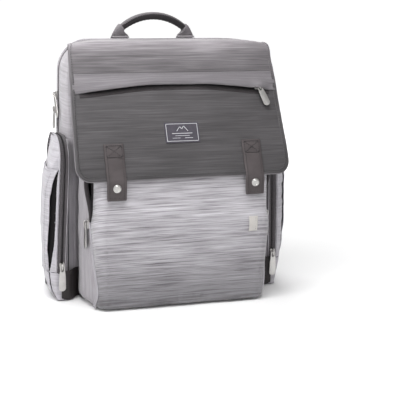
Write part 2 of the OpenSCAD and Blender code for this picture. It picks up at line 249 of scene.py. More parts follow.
M = {
    # front panel cloth: darker towards the bottom, partly painted shade where the panel curves under and partly the
    # cloth's own uneven tone
    "light": heather("fabric_light_heather", srgb(104, 99, 104), srgb(178, 175, 180), srgb(212, 210, 215), su=14, sv=620, second=(9, 260), contrast=1.35, drift=0.2, painted_shade_by_height=[(0.0, 0.42), (0.03, 0.52), (0.09, 0.82), (0.16, 1.0)]),
    "side": heather("fabric_side_heather", srgb(140, 136, 142), srgb(184, 181, 187), srgb(212, 210, 215), su=13, sv=560, second=(9, 240), contrast=0.8, drift=0.2),
    "body": heather("fabric_body_heather", srgb(130, 126, 130), srgb(176, 172, 177), srgb(206, 203, 208), su=14, sv=600, second=(9, 260), contrast=0.8, drift=0.2),
    "gusset": heather("fabric_gusset_heather", srgb(116, 111, 116), srgb(160, 156, 161), srgb(188, 185, 190), su=13, sv=620, second=(8, 240), contrast=0.8, drift=0.2),
    # flap cloth: painted light, lighter towards the top fold that faces the light from above and darker down the flap
    "flap": heather("fabric_flap_heather", srgb(94, 89, 92), srgb(132, 127, 131), srgb(172, 167, 171), su=13, sv=780, second=(8, 300), contrast=1.2, sheen=0.25, rough=0.6, drift=0.3, spec=0.5, painted_shade_by_height=[(0.2, 0.19), (0.33, 0.245), (0.36, 0.36), (0.375, 0.49), (0.40, 0.6), (0.416, 1.0)]),
    # welt lip cloth: a lighter copy of the flap cloth without the flap's painted shade, painted light for the lip that
    # tilts up to the light
    "lip": heather("fabric_lip_heather_painted_light", srgb(84, 80, 84), srgb(110, 106, 110), srgb(140, 136, 140), su=13, sv=780, second=(8, 300), contrast=0.8, sheen=0.4, rough=0.6, drift=0.3, spec=0.5),
    "binding": plain_cloth("fabric_binding", srgb(78, 74, 77), 0.2, sheen=0.4),
    "grip": plain_cloth("fabric_grip", srgb(98, 94, 97), 0.2, sheen=0.3),
    # near-black cloth for the grip's underside: painted shade
    "grip_under_shade": plain_cloth("fabric_grip_under_painted_shade", srgb(40, 37, 39), 0.3, weave=0.0024, bump=0.9),
    "web": plain_cloth("webbing_grey", srgb(124, 120, 123), 0.2, weave=0.0018, bump=0.8, rib=2),
    "webdark": plain_cloth("webbing_dark", srgb(46, 44, 46), 0.25, weave=0.0018, bump=0.8, rib=2),
    "leather": leatherette("faux_leather", srgb(74, 68, 69)),
    "guard": plastic("base_guard_coated", srgb(36, 31, 31), 0.6),
    "tape": plain_cloth("zip_tape", srgb(58, 54, 56), 0.2, weave=0.0009, bump=0.7),
    "tapewide": plain_cloth("zip_tape_side", srgb(84, 80, 83), 0.15, weave=0.0012, bump=0.7, sheen=0.3),
    "coil": plastic("zip_coil", srgb(34, 32, 34), 0.4),
    "metal": metal("satin_nickel", (0.60, 0.585, 0.57), 0.34),
    "snap": metal("snap_nickel", (0.66, 0.65, 0.63), 0.28),
    "thread": plain_cloth("thread_grey", srgb(120, 116, 120), 0.15),
    "threaddark": plain_cloth("thread_dark", srgb(34, 31, 33), 0.15),
    "threadlight": plain_cloth("thread_silver", srgb(206, 206, 210), 0.08),
    "label": plain_cloth("woven_label", srgb(74, 71, 79), 0.15, weave=0.0008),
    "tab": plain_cloth("satin_tab", srgb(196, 192, 188), 0.06, weave=0.0007, sheen=0.5, rough=0.6),
    "lining": plain_cloth("lining_nylon", srgb(44, 42, 44), 0.2, weave=0.0008, rough=0.7),
    # near-black cloth: painted shade for pocket insides and the slit under the side overlay
    "dark": plain_cloth("pocket_inside_painted_shade", srgb(20, 18, 19), 0.2, rough=0.95, sheen=0.0),
    "mesh": air_mesh("air_mesh", srgb(64, 62, 64)),
    "pad": plain_cloth("pad_edge", srgb(58, 56, 58), 0.2),
    "plastic": plastic("acetal_black", srgb(30, 30, 31), 0.4),
    "board": plastic("stiff_board", srgb(50, 50, 52), 0.5),
}

# ------------------------------------------------------------------ mesh tools (millimetres in, metres out)
def tidy(me):
    bm = bmesh.new()
    bm.from_mesh(me)
    bmesh.ops.recalc_face_normals(bm, faces=bm.faces)
    bm.to_mesh(me)
    bm.free()


def finish_obj(ob, mat, body, rep=(), smooth=True, closed=True):
    me = ob.data
    if closed:
        tidy(me)
    for p in me.polygons:
        p.use_smooth = smooth
    if not isinstance(mat, (list, tuple)):
        mat = [mat]
    me.materials.clear()
    for x in mat:
        me.materials.append(M[x])
    if body:
        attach(ob, body)
    if rep:
        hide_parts(*rep)
    return ob


def raw(name, V, F, mat, body, uv=None, rep=(), smooth=True, faceuv=None, matidx=None):
    me = bpy.data.meshes.new(name)
    me.from_pydata((np.asarray(V, float) * 0.001).tolist(), [], [tuple(int(i) for i in f) for f in F])
    if uv is not None or faceuv is not None:
        l = me.uv_layers.new(name="UVMap")
        if faceuv is not None:
            data = np.concatenate([np.asarray(f, float).reshape(-1, 2) for f in faceuv]).ravel()
        else:
            idx = np.zeros(len(me.loops), int)
            me.loops.foreach_get("vertex_index", idx)
            data = (np.asarray(uv)[idx]).ravel()
        l.data.foreach_set("uv", data.astype(np.float32))
    ob = bpy.data.objects.new(name, me)
    scn.collection.objects.link(ob)
    finish_obj(ob, mat, body, rep, smooth)
    if matidx is not None:
        me.polygons.foreach_set("material_index", np.asarray(matidx, np.int32))
    return ob


def gnormals(P, cu=False, cv=False):
    def d(A, ax, c):
        if c:
            return np.roll(A, -1, ax) - np.roll(A, 1, ax)
        return np.gradient(A, axis=ax)
    N = np.cross(d(P, 0, cu), d(P, 1, cv))
    L = np.linalg.norm(N, axis=2, keepdims=True)
    return N / np.maximum(L, 1e-9)


def box_uv(P):
    return np.stack([P[..., 0] + P[..., 1], P[..., 2]], -1) * 0.001


def arc_uv(P, cu=False):
    """U along i, V along j, in metres, from the grid's own lengths."""
    a = np.linalg.norm(np.diff(P, axis=0), axis=2)
    a = np.vstack([np.zeros((1, P.shape[1])), np.cumsum(a, 0)])
    b = np.linalg.norm(np.diff(P, axis=1), axis=2)
    b = np.hstack([np.zeros((P.shape[0], 1)), np.cumsum(b, 1)])
    u = np.repeat(a.mean(1)[:, None], P.shape[1], 1)
    v = np.repeat(b.mean(0)[None, :], P.shape[0], 0)
    return np.stack([u, v], -1) * 0.001


def sheet(name, P, mat, body, thick=0.0, out=(0, -1, 0), cu=False, uv=None, rep=(), cap0=False, cap1=False, rim=0.35, smooth=True):
    """A grid as a closed fabric shell: outer face P, inner face thick behind it, rounded edges."""
    P = np.asarray(P, float)
    n, m = P.shape[:2]
    N = gnormals(P, cu)
    out = np.asarray(out, float)
    ref = out if out.ndim > 1 else np.broadcast_to(out, P.shape)
    if np.sum(N * ref) < 0:
        N = -N
    mapped = uv is not None
    if uv is None:
        uv = arc_uv(P, cu)
    elif callable(uv):
        uv = uv(P)
    V = [P.reshape(-1, 3)]
    UV = [uv.reshape(-1, 2)]
    F, FU, MI = [], [], []
    per = arc_uv(np.concatenate([P, P[:1]]), True)[-1, 0, 0] if cu and not mapped else 0
    def idx(i, j, L=0):
        return L * n * m + (i % n) * m + j
    def uvq(i, j):
        u = uv[i % n, j].copy()
        if i >= n:
            u[0] += per
        return u
    ni = n if cu else n - 1
    layers = 2 if thick > 0 else 1
    if thick > 0:
        V.append((P - N * thick).reshape(-1, 3))
    for i in range(ni):
        for j in range(m - 1):
            q = [(i, j), (i + 1, j), (i + 1, j + 1), (i, j + 1)]
            uvs = [uvq(*c) for c in q]
            F.append([idx(*c) for c in q])
            FU.append(uvs)
            MI.append(0)
            if thick > 0:
                F.append([idx(*c, 1) for c in q[::-1]])
                FU.append(uvs[::-1])
                MI.append(1)
    if thick > 0:
        edges = []
        if not cu:
            edges += [([(0, j) for j in range(m)], P[0] - P[1]), ([(n - 1, j) for j in range(m)], P[-1] - P[-2])]
        rng = list(range(n)) + ([n] if cu else [])
        if not cap0:
            edges.append(([(i, 0) for i in rng], np.array([P[i % n, 0] - P[i % n, 1] for i in rng])))
        if not cap1:
            edges.append(([(i, m - 1) for i in rng], np.array([P[i % n, m - 1] - P[i % n, m - 2] for i in rng])))
        base = sum(len(v) for v in V)
        for cells, dirs in edges:
            closed_e = cu and len(cells) == n + 1
            k = len(cells) - (1 if closed_e else 0)
            mid = []
            for t in range(k):
                i, j = cells[t]
                d = dirs[t] / max(np.linalg.norm(dirs[t]), 1e-9)
                mid.append(P[i % n, j] - N[i % n, j] * thick / 2 + d * thick * rim)
            V.append(np.array(mid))
            for t in range(len(cells) - 1):
                a, b = cells[t], cells[t + 1]
                ma, mb = base + t % k, base + (t + 1) % k
                ua, ub = uvq(*a), uvq(*b)
                F.append([idx(*a), idx(*b), mb, ma]); FU.append([ua, ub, ub, ua])
                F.append([ma, mb, idx(*b, 1), idx(*a, 1)]); FU.append([ua, ub, ub, ua])
                MI += [0, 0]
            base += k
    for flag, j in ((cap0, 0), (cap1, m - 1)):
        if not flag:
            continue
        for L in range(layers):
            base = sum(len(v) for v in V)
            ring = [idx(i, j, L) for i in range(n)]
            pts = np.concatenate(V)[ring]
            V.append(pts.mean(0)[None])
            cuv = uv[:, j].mean(0)
            for i in range(n):
                F.append([ring[i], ring[(i + 1) % n], base])
                FU.append([uv[i, j], uv[(i + 1) % n, j], cuv])
                MI.append(L)
    return raw(name, np.concatenate(V), F, mat, body, faceuv=FU, rep=rep, smooth=smooth, matidx=MI if isinstance(mat, (list, tuple)) else None)


def frames_along(path, closed=False, ref=None):
    p = np.asarray(path, float)
    if closed:
        T = np.roll(p, -1, 0) - np.roll(p, 1, 0)
    else:
        T = np.gradient(p, axis=0)
    T /= np.maximum(np.linalg.norm(T, axis=1, keepdims=True), 1e-9)
    if ref is None:
        n = np.cross(T[0], [0.3, 0.9, 0.2]); n /= np.linalg.norm(n)
        A = []
        for t in T:
            n = n - t * (n @ t)
            n /= max(np.linalg.norm(n), 1e-9)
            A.append(n.copy())
        A = np.array(A)
    else:
        A = np.broadcast_to(np.asarray(ref, float), p.shape).copy()
        A -= T * np.sum(A * T, 1, keepdims=True)
        A /= np.maximum(np.linalg.norm(A, axis=1, keepdims=True), 1e-9)
    return T, A, np.cross(T, A)


def tube(name, path, r, mat, body, seg=8, closed=False, ref=None, flat=1.0, rep=(), prof=None, smooth=True, matfn=None):
    """A round or profiled cord along path. prof: (k,2) points as (along ref, across)."""
    p = np.asarray(path, float)
    T, A, B = frames_along(p, closed, ref)
    k = len(p)
    r = np.broadcast_to(np.asarray(r, float), (k,))
    if prof is None:
        th = np.linspace(0, 2 * pi, seg, endpoint=False)
        pr = np.stack([np.cos(th) * flat, np.sin(th)], 1)
        rings = p[:, None] + r[:, None, None] * (pr[None, :, :1] * A[:, None] + pr[None, :, 1:] * B[:, None])
    else:
        pr = np.asarray(prof, float)
        seg = len(pr)
        rings = p[:, None] + (pr[None, :, :1] * A[:, None] + pr[None, :, 1:] * B[:, None])
    s = np.concatenate([[0], np.cumsum(np.linalg.norm(np.diff(p, axis=0), axis=1))]) * 0.001
    per = np.linalg.norm(np.diff(np.vstack([pr, pr[:1]]), axis=0), axis=1)
    if prof is None:
        per = per * float(r.mean())
    w = np.concatenate([[0], np.cumsum(per)]) * 0.001
    F, FU, MI = [], [], []
    for i in range(k if closed else k - 1):
        for j in range(seg):
            a, b = i, (i + 1) % k
            F.append([a * seg + j, b * seg + j, b * seg + (j + 1) % seg, a * seg + (j + 1) % seg])
            u0, u1 = s[i], s[i + 1] if i + 1 < k else s[i] + 0.002
            FU.append([(u0, w[j]), (u1, w[j]), (u1, w[j + 1]), (u0, w[j + 1])])
            MI.append(matfn(pr[j]) if matfn else 0)
    V = rings.reshape(-1, 3)
    if not closed:
        for e, i in ((0, 0), (1, k - 1)):
            c = len(V)
            V = np.vstack([V, rings[i].mean(0)[None] + T[i] * (-1 if e == 0 else 1) * (0.25 * r[i] if prof is None else 0.2)])
            for j in range(seg):
                F.append([i * seg + j, i * seg + (j + 1) % seg, c])
                FU.append([(s[i], w[j]), (s[i], w[j + 1]), (s[i], 0)])
                MI.append(0)
    return raw(name, V, F, mat, body, faceuv=FU, rep=rep, smooth=smooth, matidx=MI)


def resample(pts, n, closed=False):
    pts = np.asarray(pts, float)
    if closed:
        pts = np.vstack([pts, pts[:1]])
    s = np.concatenate([[0], np.cumsum(np.linalg.norm(np.diff(pts, axis=0), axis=1))])
    t = np.linspace(0, s[-1], n, endpoint=not closed)
    return np.stack([np.interp(t, s, pts[:, k]) for k in range(pts.shape[1])], 1)


def length(pts):
    return float(np.linalg.norm(np.diff(np.asarray(pts, float), axis=0), axis=1).sum())


def stitches(name, paths, mat, body, pitch=3.6, ln=2.5, r=0.38):
    """Rows of thread dashes. paths: list of (points, outward normal)."""
    V, F = [], []
    for pts, nrm in paths:
        pts = np.asarray(pts, float)
        L = length(pts)
        k = max(1, int(L / pitch))
        p0 = resample(pts, k * 12 + 1)
        n = np.asarray(nrm, float)
        N = resample(n, k * 12 + 1) if n.ndim > 1 else np.broadcast_to(n, p0.shape)
        for i in range(k):
            a, b = i * 12 + 2, i * 12 + 2 + int(12 * ln / pitch)
            A, B = p0[a], p0[min(b, len(p0) - 1)]
            d = B - A
            dl = np.linalg.norm(d)
            if dl < 1e-6:
                continue
            d /= dl
            nn = N[a] / max(np.linalg.norm(N[a]), 1e-9)
            w = np.cross(d, nn)
            base = len(V)
            V.append(A)
            for f in (0.22, 0.78):
                c = A + (B - A) * f
                for x, y in ((1, 0), (0, 1), (-1, 0), (0, -0.6)):
                    V.append(c + w * x * r + nn * y * r)
            V.append(B)
            for q in range(4):
                F.append([base, base + 1 + q, base + 1 + (q + 1) % 4])
                F.append([base + 1 + q, base + 5 + q, base + 5 + (q + 1) % 4, base + 1 + (q + 1) % 4])
                F.append([base + 9, base + 5 + (q + 1) % 4, base + 5 + q])
    return raw(name, V, F, mat, body)


def coil(name, path, nrm, mat, body, w=1.5, pitch=1.25, r=0.5, h=0.7):
    """The zip's coil: one thread zigzagging along the path."""
    pts = np.asarray(path, float)
    k = max(4, int(length(pts) / pitch) * 2)
    p = resample(pts, k)
    n = np.asarray(nrm, float)
    N = resample(n, k) if n.ndim > 1 else np.broadcast_to(n, p.shape)
    T = np.gradient(p, axis=0)
    T /= np.linalg.norm(T, axis=1, keepdims=True)
    W = np.cross(T, N)
    z = np.where(np.arange(k) % 2 == 0, 1.0, -1.0)[:, None]
    q = p + W * z * w + N * h
    return tube(name, q, r, mat, body, seg=5, ref=N)


def plate(name, outlines, t, bev, mtx, mat, body, rep=(), res=2):
    """A flat part with rounded edges. outlines (first the outside, then holes) in mm, in the plane of mtx's x and y; t is its thickness along z."""
    cu = bpy.data.curves.new(name, "CURVE")
    cu.dimensions = "2D"
    cu.fill_mode = "BOTH"
    cu.extrude = (t / 2 - bev) * 0.001
    cu.bevel_depth = bev * 0.001
    cu.bevel_resolution = res
    cu.offset = -bev * 0.001
    for o in outlines:
        sp = cu.splines.new("POLY")
        sp.points.add(len(o) - 1)
        for pt, (x, y) in zip(sp.points, o):
            pt.co = (x * 0.001, y * 0.001, 0, 1)
        sp.use_cyclic_u = True
    tmp = bpy.data.objects.new("tmp", cu)
    scn.collection.objects.link(tmp)
    bpy.context.view_layer.update()
    me = bpy.data.meshes.new_from_object(tmp.evaluated_get(bpy.context.evaluated_depsgraph_get()))
    bpy.data.objects.remove(tmp)
    bpy.data.curves.remove(cu)
    bm = bmesh.new()
    bm.from_mesh(me)
    bmesh.ops.remove_doubles(bm, verts=bm.verts, dist=2e-6)
    bm.to_mesh(me)
    bm.free()
    m = np.array(mtx, float)
    co = np.zeros(len(me.vertices) * 3)
    me.vertices.foreach_get("co", co)
    co = co.reshape(-1, 3) @ m[:3, :3].T + m[:3, 3] * 0.001
    me.vertices.foreach_set("co", co.ravel())
    me.update()
    me.name = name
    ob = bpy.data.objects.new(name, me)
    scn.collection.objects.link(ob)
    finish_obj(ob, mat, body, rep, smooth=True)
    flat_shade(ob)
    return ob


def flat_shade(ob, ang=35):
    """Sharp edges above ang degrees, smooth elsewhere."""
    bm = bmesh.new()
    bm.from_mesh(ob.data)
    for e in bm.edges:
        if len(e.link_faces) == 2 and e.calc_face_angle(0) > radians(ang):
            e.smooth = False
    bm.to_mesh(ob.data)
    bm.free()


def rounded(w, h, r, k=5, cx=0, cy=0):
    out = []
    for sx_, sy_, a0 in ((1, -1, -pi / 2), (1, 1, 0), (-1, 1, pi / 2), (-1, -1, pi)):
        for i in range(k + 1):
            a = a0 + i * pi / 2 / k
            out.append((cx + sx_ * (w / 2 - r) + r * cos(a), cy + sy_ * (h / 2 - r) + r * sin(a)))
    return out


def mtx(x, y, z, o):
    m = np.eye(4)
    m[:3, 0], m[:3, 1], m[:3, 2], m[:3, 3] = x, y, z, o
    return m


def wob(a, b, seed, f, amp, k=7):
    r = np.random.RandomState(seed)
    out = 0
    for _ in range(k):
        th, fr, ph = r.uniform(0, 2 * pi), f * r.uniform(0.6, 1.6), r.uniform(0, 2 * pi)
        out = out + np.sin((a * cos(th) + b * sin(th)) * fr * 2 * pi + ph)
    return amp * out / math.sqrt(k)


def smooth(x, a, b):
    t = np.clip((x - a) / (b - a), 0, 1)
    return t * t * (3 - 2 * t)


def cloth(P, pin, out, cu=False, pressure=4.0, shrink=-0.02, frames=20, cap=6.0, bend=0.4, stiff=12.0, pin_w=None):
    """The grid P as cloth held at pin, blown up gently; returns the settled grid."""
    P = np.asarray(P, float)
    n, m = P.shape[:2]
    N = gnormals(P, cu)
    ref = np.asarray(out, float)
    ref = ref if ref.ndim > 1 else np.broadcast_to(ref, P.shape)
    flip = np.sum(N * ref) < 0
    F = []
    for i in range(n if cu else n - 1):
        for j in range(m - 1):
            q = [i * m + j, ((i + 1) % n) * m + j, ((i + 1) % n) * m + j + 1, i * m + j + 1]
            F.append(q[::-1] if flip else q)
    me = bpy.data.meshes.new("cloth_tmp")
    me.from_pydata((P.reshape(-1, 3) * 0.001).tolist(), [], F)
    ob = bpy.data.objects.new("cloth_tmp", me)
    scn.collection.objects.link(ob)
    vg = ob.vertex_groups.new(name="pin")
    W = np.asarray(pin, float).ravel()
    for v in np.nonzero(W > 0)[0]:
        vg.add([int(v)], float(W[v]), "REPLACE")
    md = ob.modifiers.new("c", "CLOTH")
    s = md.settings
    s.quality = 6
    s.mass = 0.25
    s.tension_stiffness = s.compression_stiffness = stiff
    s.shear_stiffness = stiff / 3
    s.bending_stiffness = bend
    s.air_damping = 2.0
    s.vertex_group_mass = "pin"
    s.use_pressure = True
    s.uniform_pressure_force = pressure
    s.shrink_min = shrink
    s.effector_weights.gravity = 0.0
    md.collision_settings.use_collision = False
    md.point_cache.frame_start = 1
    md.point_cache.frame_end = frames
    for f in range(1, frames + 1):
        scn.frame_set(f)
    ev = ob.evaluated_get(bpy.context.evaluated_depsgraph_get())
    co = np.zeros(n * m * 3)
    ev.data.vertices.foreach_get("co", co)
    Q = co.reshape(n, m, 3) * 1000
    scn.frame_set(1)
    bpy.data.objects.remove(ob)
    bpy.data.meshes.remove(me)
    D = Q - P
    D[~np.isfinite(D)] = 0
    L = np.linalg.norm(D, axis=2, keepdims=True)
    lim = cap * np.tanh(L / cap)
    return P + D / np.maximum(L, 1e-9) * lim


def soften(P, k=1, cu=False):
    for _ in range(k):
        Q = P.copy()
        Q[1:-1] = (P[:-2] + 2 * P[1:-1] + P[2:]) / 4
        R = Q.copy()
        R[:, 1:-1] = (Q[:, :-2] + 2 * Q[:, 1:-1] + Q[:, 2:]) / 4
        P = R
    return P


# ------------------------------------------------------------------ shared sizes, from the CAD
half = 170.0
H = 416.0
ZIP0, ZIP1 = 41.0, 49.0
YF, YB = -21.0, 78.0


def rr(hw0, z0, z1, rt, rb, n=240):
    def arc(cx, cz, r, a0, a1, k=18):
        r = max(r, 0.5)
        return [(cx + r * cos(t), cz + r * sin(t)) for t in np.linspace(a0, a1, k)]
    pts = [(0, z0)] + arc(hw0 - rb, z0 + rb, rb, -pi / 2, 0) + arc(hw0 - rt, z1 - rt, rt, 0, pi / 2)
    pts += arc(-hw0 + rt, z1 - rt, rt, pi / 2, pi) + arc(-hw0 + rb, z0 + rb, rb, pi, 3 * pi / 2)
    return resample(pts, n, True)


def side_soft(x, z, amp):
    """Gentle sag of the side walls, none at the base or the top corners."""
    return amp * np.sign(x) * smooth(z, 20, 120) * (1 - smooth(z, 250, 390))


# ---- main compartment, front part
n = 260
cols = []
for y, ins in [(YF, 150), (YF, 120), (YF, 90), (YF, 60), (YF, 30), (YF, 14), (YF + 0.3, 6), (YF + 1.6, 2.6), (YF + 4, 0.8), (YF + 8, 0)] + \
        [(y, 0) for y in np.linspace(YF + 13, ZIP0 - 3, 12)] + [(ZIP0 - 1.2, 0.3), (ZIP0, 1.2), (ZIP0, 2.4), (ZIP0 - 2, 3.2), (ZIP0 - 12, 3.4), (ZIP0 - 40, 3.4), (YF + 4, 4.2), (YF + 3, 30), (YF + 3, 90), (YF + 3, 150)]:
    L = rr(half - ins, 0 + min(ins, 160), H - ins, max(50 - ins, 4), max(12 - ins, 3), n)
    depth = smooth(y, YF + 2, YF + 20) * (1 - smooth(y, ZIP0 - 16, ZIP0))
    x = L[:, 0] + side_soft(L[:, 0], L[:, 1], 2.6) * depth * (ins < 4)
    z = L[:, 1].copy()
    yy = np.full(n, y)
    if ins < 3:
        w = wob(z, yy * 1.5, 3, 1 / 60, 0.9) * depth
        x = x + np.sign(x) * w * smooth(np.abs(x), 120, 165)
        z = z + wob(x, yy, 4, 1 / 80, 0.6) * depth * smooth(z, 380, 412)
    cols.append(np.stack([x, yy, z], 1))
P = np.stack(cols, 1)
def wall_uv(Q):
    N = np.abs(gnormals(Q, True))
    up = smooth(N[..., 2], 0.55, 0.85)
    return np.stack([Q[..., 0] + 0.9 * Q[..., 1] * np.sign(Q[..., 0]) * (1 - up), Q[..., 2] * (1 - 0.0 * up) + Q[..., 1] * up], -1) * 0.001


sheet("body_shell_fabric", P, "body", "bag", 0, out=P - np.array([0, 10, 210]), cu=True, cap0=True, cap1=True, rep=("body_shell",), uv=wall_uv)

# ---- main compartment, back part
cols = []
ys = [ZIP1 - 1.5, ZIP1, ZIP1 + 0.2, ZIP1 + 1.4]
cols_def = [(ZIP1 + 14, 3.4, 3.4), (ZIP1 + 1.5, 3.2, 3.2), (ZIP1, 2.2, 2.2), (ZIP1, 1.0, 1.0), (ZIP1 + 1.4, 0.2, 0.2)]
for y in np.linspace(ZIP1 + 3, YB - 0.6, 12):
    t = max(0.0, y - (YB - 29))
    xin = 30 - math.sqrt(max(30 ** 2 - t ** 2, 0)) if t > 0 else 0
    t2 = max(0.0, y - (YB - 13))
    zin = 14 - math.sqrt(max(14 ** 2 - t2 ** 2, 0)) if t2 > 0 else 0
    cols_def.append((y, min(xin, 26), min(zin, 11)))
cols_def += [(YB, 34, 18), (YB, 60, 40), (YB, 100, 90), (YB, 140, 160), (YB - 4, 140, 160), (YB - 4, 60, 40), (YB - 5, 34, 18), (ZIP1 + 18, 3.5, 3.5)]
for y, xin, zin in cols_def:
    L = rr(half - xin, min(zin, 180), H - zin, max(50 - xin * 0.6, 8), max(12 - zin, 4), n)
    f = 1.0 if (xin < 28 and y > ZIP1 + 1) else 0.0
    x = L[:, 0] + side_soft(L[:, 0], L[:, 1], 1.5) * f * (xin < 3)
    z = L[:, 1]
    yy = np.full(n, y) + (wob(x, z, 9, 1 / 70, 0.5) if 30 < xin and y == YB else 0)
    cols.append(np.stack([x, yy, z], 1))
P = np.stack(cols, 1)
sheet("body_back_fabric", P[:, :-1], "body", "bag", 0, out=P[:, :-1] - np.array([0, 60, 210]), cu=True, rep=("body_back_shell",), uv=wall_uv)

# lining, a loose bag inside the two shells
cols = []
for y, xin, zin in ((-14, 40, 34), (-12, 26, 24), (-6, 14, 14), (4, 9, 9), (20, 8.5, 8.5), (45, 8.5, 8.5), (YB - 34, 10, 9), (YB - 24, 14, 12), (YB - 16, 22, 17), (YB - 11, 34, 26), (YB - 9, 48, 40)):
    L = rr(half - xin, max(zin, 8.6), H - zin, max(50 - xin * 0.6, 12), max(12 - zin, 4), n)
    cols.append(np.stack([L[:, 0], np.full(n, float(y)), L[:, 1]], 1))
P_lin = np.stack(cols, 1)
sheet("lining_fabric", P_lin, "lining", "bag", 0.8, out=P_lin - np.array([0, 30, 210]), cu=True, cap0=True, cap1=True, rep=("lining",))

# ---- main zip: tapes, coil
path2 = rr(half - 1.6, 1.6, H - 1.6, 48.4, 10.5, 900)
k0 = np.argmin(np.abs(path2[:, 0] - (half - 1.6)) + np.abs(path2[:, 1] - 262))
k1 = np.argmin(np.abs(path2[:, 0] + (half - 1.6)) + np.abs(path2[:, 1] - 262))
zp = path2[k0:k1 + 1]
T2 = np.gradient(zp, axis=0)
T2 /= np.linalg.norm(T2, axis=1, keepdims=True)
N2 = np.stack([T2[:, 1], -T2[:, 0]], 1)
for nm, ya, yb in (("front", ZIP0 - 4, 44.6), ("back", 45.4, ZIP1 + 4)):
    G = np.stack([np.stack([zp[:, 0] - N2[:, 0] * d, np.full(len(zp), y), zp[:, 1] - N2[:, 1] * d], 1) for y, d in ((ya, 1.4 if nm == "front" else 0.2), ((ya + yb) / 2, 0.3), (yb, 0.2 if nm == "front" else 1.4))], 1)[::4]
    sheet("main_zip_tape_" + nm, G, "tape", "bag", 0.8, out=G - np.array([0, 45, 200]) * np.array([1, 1, 1]), rep=("main_zip",) if nm == "front" else ())
coil("main_zip_coil", np.stack([zp[:, 0], np.full(len(zp), 45.0), zp[:, 1]], 1)[::4], np.stack([N2[:, 0], np.zeros(len(zp)), N2[:, 1]], 1)[::4], "coil", "bag")
# edge stitching along the zip
for nm, y in (("a", ZIP0 - 2.6), ("b", ZIP1 + 2.8)):
    q = np.stack([zp[:, 0] + N2[:, 0] * 1.9, np.full(len(zp), y), zp[:, 1] + N2[:, 1] * 1.9], 1)[::4]
    stitches("main_zip_stitch_" + nm, [(q, np.stack([N2[:, 0], 0 * zp[:, 0], N2[:, 1]], 1)[::4])], "thread", "bag")

# ------------------------------------------------------------------ front pocket
def seam(z):
    """Half-width and depth of the front pocket's zip seam at height z."""
    zz = np.array([-5, 3, 10, 19, 30, 47, 100, 137, 300])
    return np.interp(z, zz, [143.5, 143.5, 143.0, 142.0, 141.8, 143.2, 147.0, 149.3, 149.3]), np.interp(z, zz, [-93, -95, -101, -108, -111, -106.5, -93, -84, -84])


def seam_path(z0, z1, k=60, dx=0.0, dy=0.0):
    z = np.linspace(z0, z1, k)
    for _ in range(2):
        x, y = seam(z)
    x, y = np.convolve(np.pad(x, 4, "edge"), np.ones(9) / 9, "valid"), np.convolve(np.pad(y, 4, "edge"), np.ones(9) / 9, "valid")
    return np.stack([x + dx, y + dy, z], 1)


# gusset: a band from the body to the seam, round the pocket's outline
ng = 220
cols = []
for f in np.linspace(0, 1, 16):
    L = rr(150, 0.4, 214, 14, 10, ng)
    sgn = np.sign(L[:, 0])
    sidew = smooth(np.abs(L[:, 0]), 112, 140)
    xs_, ys_ = seam(L[:, 1])
    flare = 9.0 * smooth(L[:, 1], 141, 205)
    yfront = ys_ * sidew + (1 - sidew) * np.where(L[:, 1] < 100, -100, -82)
    y = YF - 0.4 + (yfront - (YF - 0.4)) * f
    x = L[:, 0] * (1 + (xs_ / 150 - 1) * f * sidew) + sgn * sidew * flare * f ** 1.5
    belly = sin(pi * f ** 0.9) ** 0.8 if 0 < f < 1 else 0.0
    low = 1 - 0.75 * (1 - smooth(L[:, 1], 0, 16))
    x = x + sgn * belly * (7.6 * low - 2.5 * smooth(L[:, 1], 130, 200) + wob(y, L[:, 1], 21, 1 / 55, 0.8)) * smooth(np.abs(L[:, 0]), 130, 148)
    # soft upright folds that follow the seam
    x = x + sgn * 0.7 * np.sin(f * 17 + wob(L[:, 1], y * 0, 22, 1 / 160, 0.8)) * sin(pi * f) * sidew * (1 - smooth(L[:, 1], 110, 170))
    cols.append(np.stack([x, y, L[:, 1]], 1))
P = np.stack(cols, 1)
G_gus = P
sheet("front_gusset_fabric", P, ["gusset", "lining"], "bag", 2.4, out=P - np.array([0, -60, 105]), cu=True, rep=("front_gusset",),
      uv=lambda Q: np.stack([Q[..., 2] + 0 * Q[..., 1], Q[..., 1] + 0.3 * Q[..., 0]], -1) * 0.001)

# front panel: bulging sheet sewn along the seam
nz_, nx_ = 62, 96
vp = [(-106, 1.2), (-112, 1.2)] + [(-112 - 11 * sin(t), 12.2 - 11 * cos(t)) for t in np.linspace(0.1, pi / 2, 8)]
vp += [(-124.2, 30), (-124.8, 60), (-124.2, 95), (-122.6, 130), (-120.6, 165), (-118.6, 195), (-117.2, 212)]
vp = resample(vp, nz_)
P = np.zeros((nz_, nx_, 3))
for a, (yc, z) in enumerate(vp):
    hw_, ys_ = seam(z)
    if z > 126:   # open zip: the panel's edge hangs away from the gusset
        ys_ = ys_ - 5.5 * smooth(z, 139, 196)
        hw_ = hw_ - 4.8 * smooth(z, 126, 158) 
    ins = 0.0
    if z < 14:
        ins = 8 * (1 - math.sqrt(max(0, 1 - ((14 - z) / 14) ** 2)))
    if a < 3:
        ins = 8
    hw_ = hw_ - ins
    D = max(ys_ - yc, 1.5)
    ry = min(17.0, D)
    rx = 16.0
    pts = [(-hw_, yc + D)]
    if D > ry + 0.5:
        pts.append((-hw_, yc + ry))
    pts += [(-hw_ + rx - rx * cos(t), yc + ry - ry * sin(t)) for t in np.linspace(0.05, pi / 2, 12)]
    pts += [(-x, y) for x, y in pts[::-1]]
    P[a, :, :2] = resample(pts, nx_)
    P[a, :, 2] = z
top = 212.0
bul = np.clip(1 - (P[..., 0] / 138) ** 2, 0, 1)
P[..., 1] -= 2.0 * bul ** 0.6 * smooth(P[..., 2], 8, 60) * (1 - smooth(P[..., 2], 120, 200))
pin = np.zeros((nz_, nx_))
pin[0] = pin[-1] = 1
pin[1] = 0.6
pin[:, 0] = pin[:, -1] = 1
pin[-4:] = 1
rs = np.random.RandomState(5)
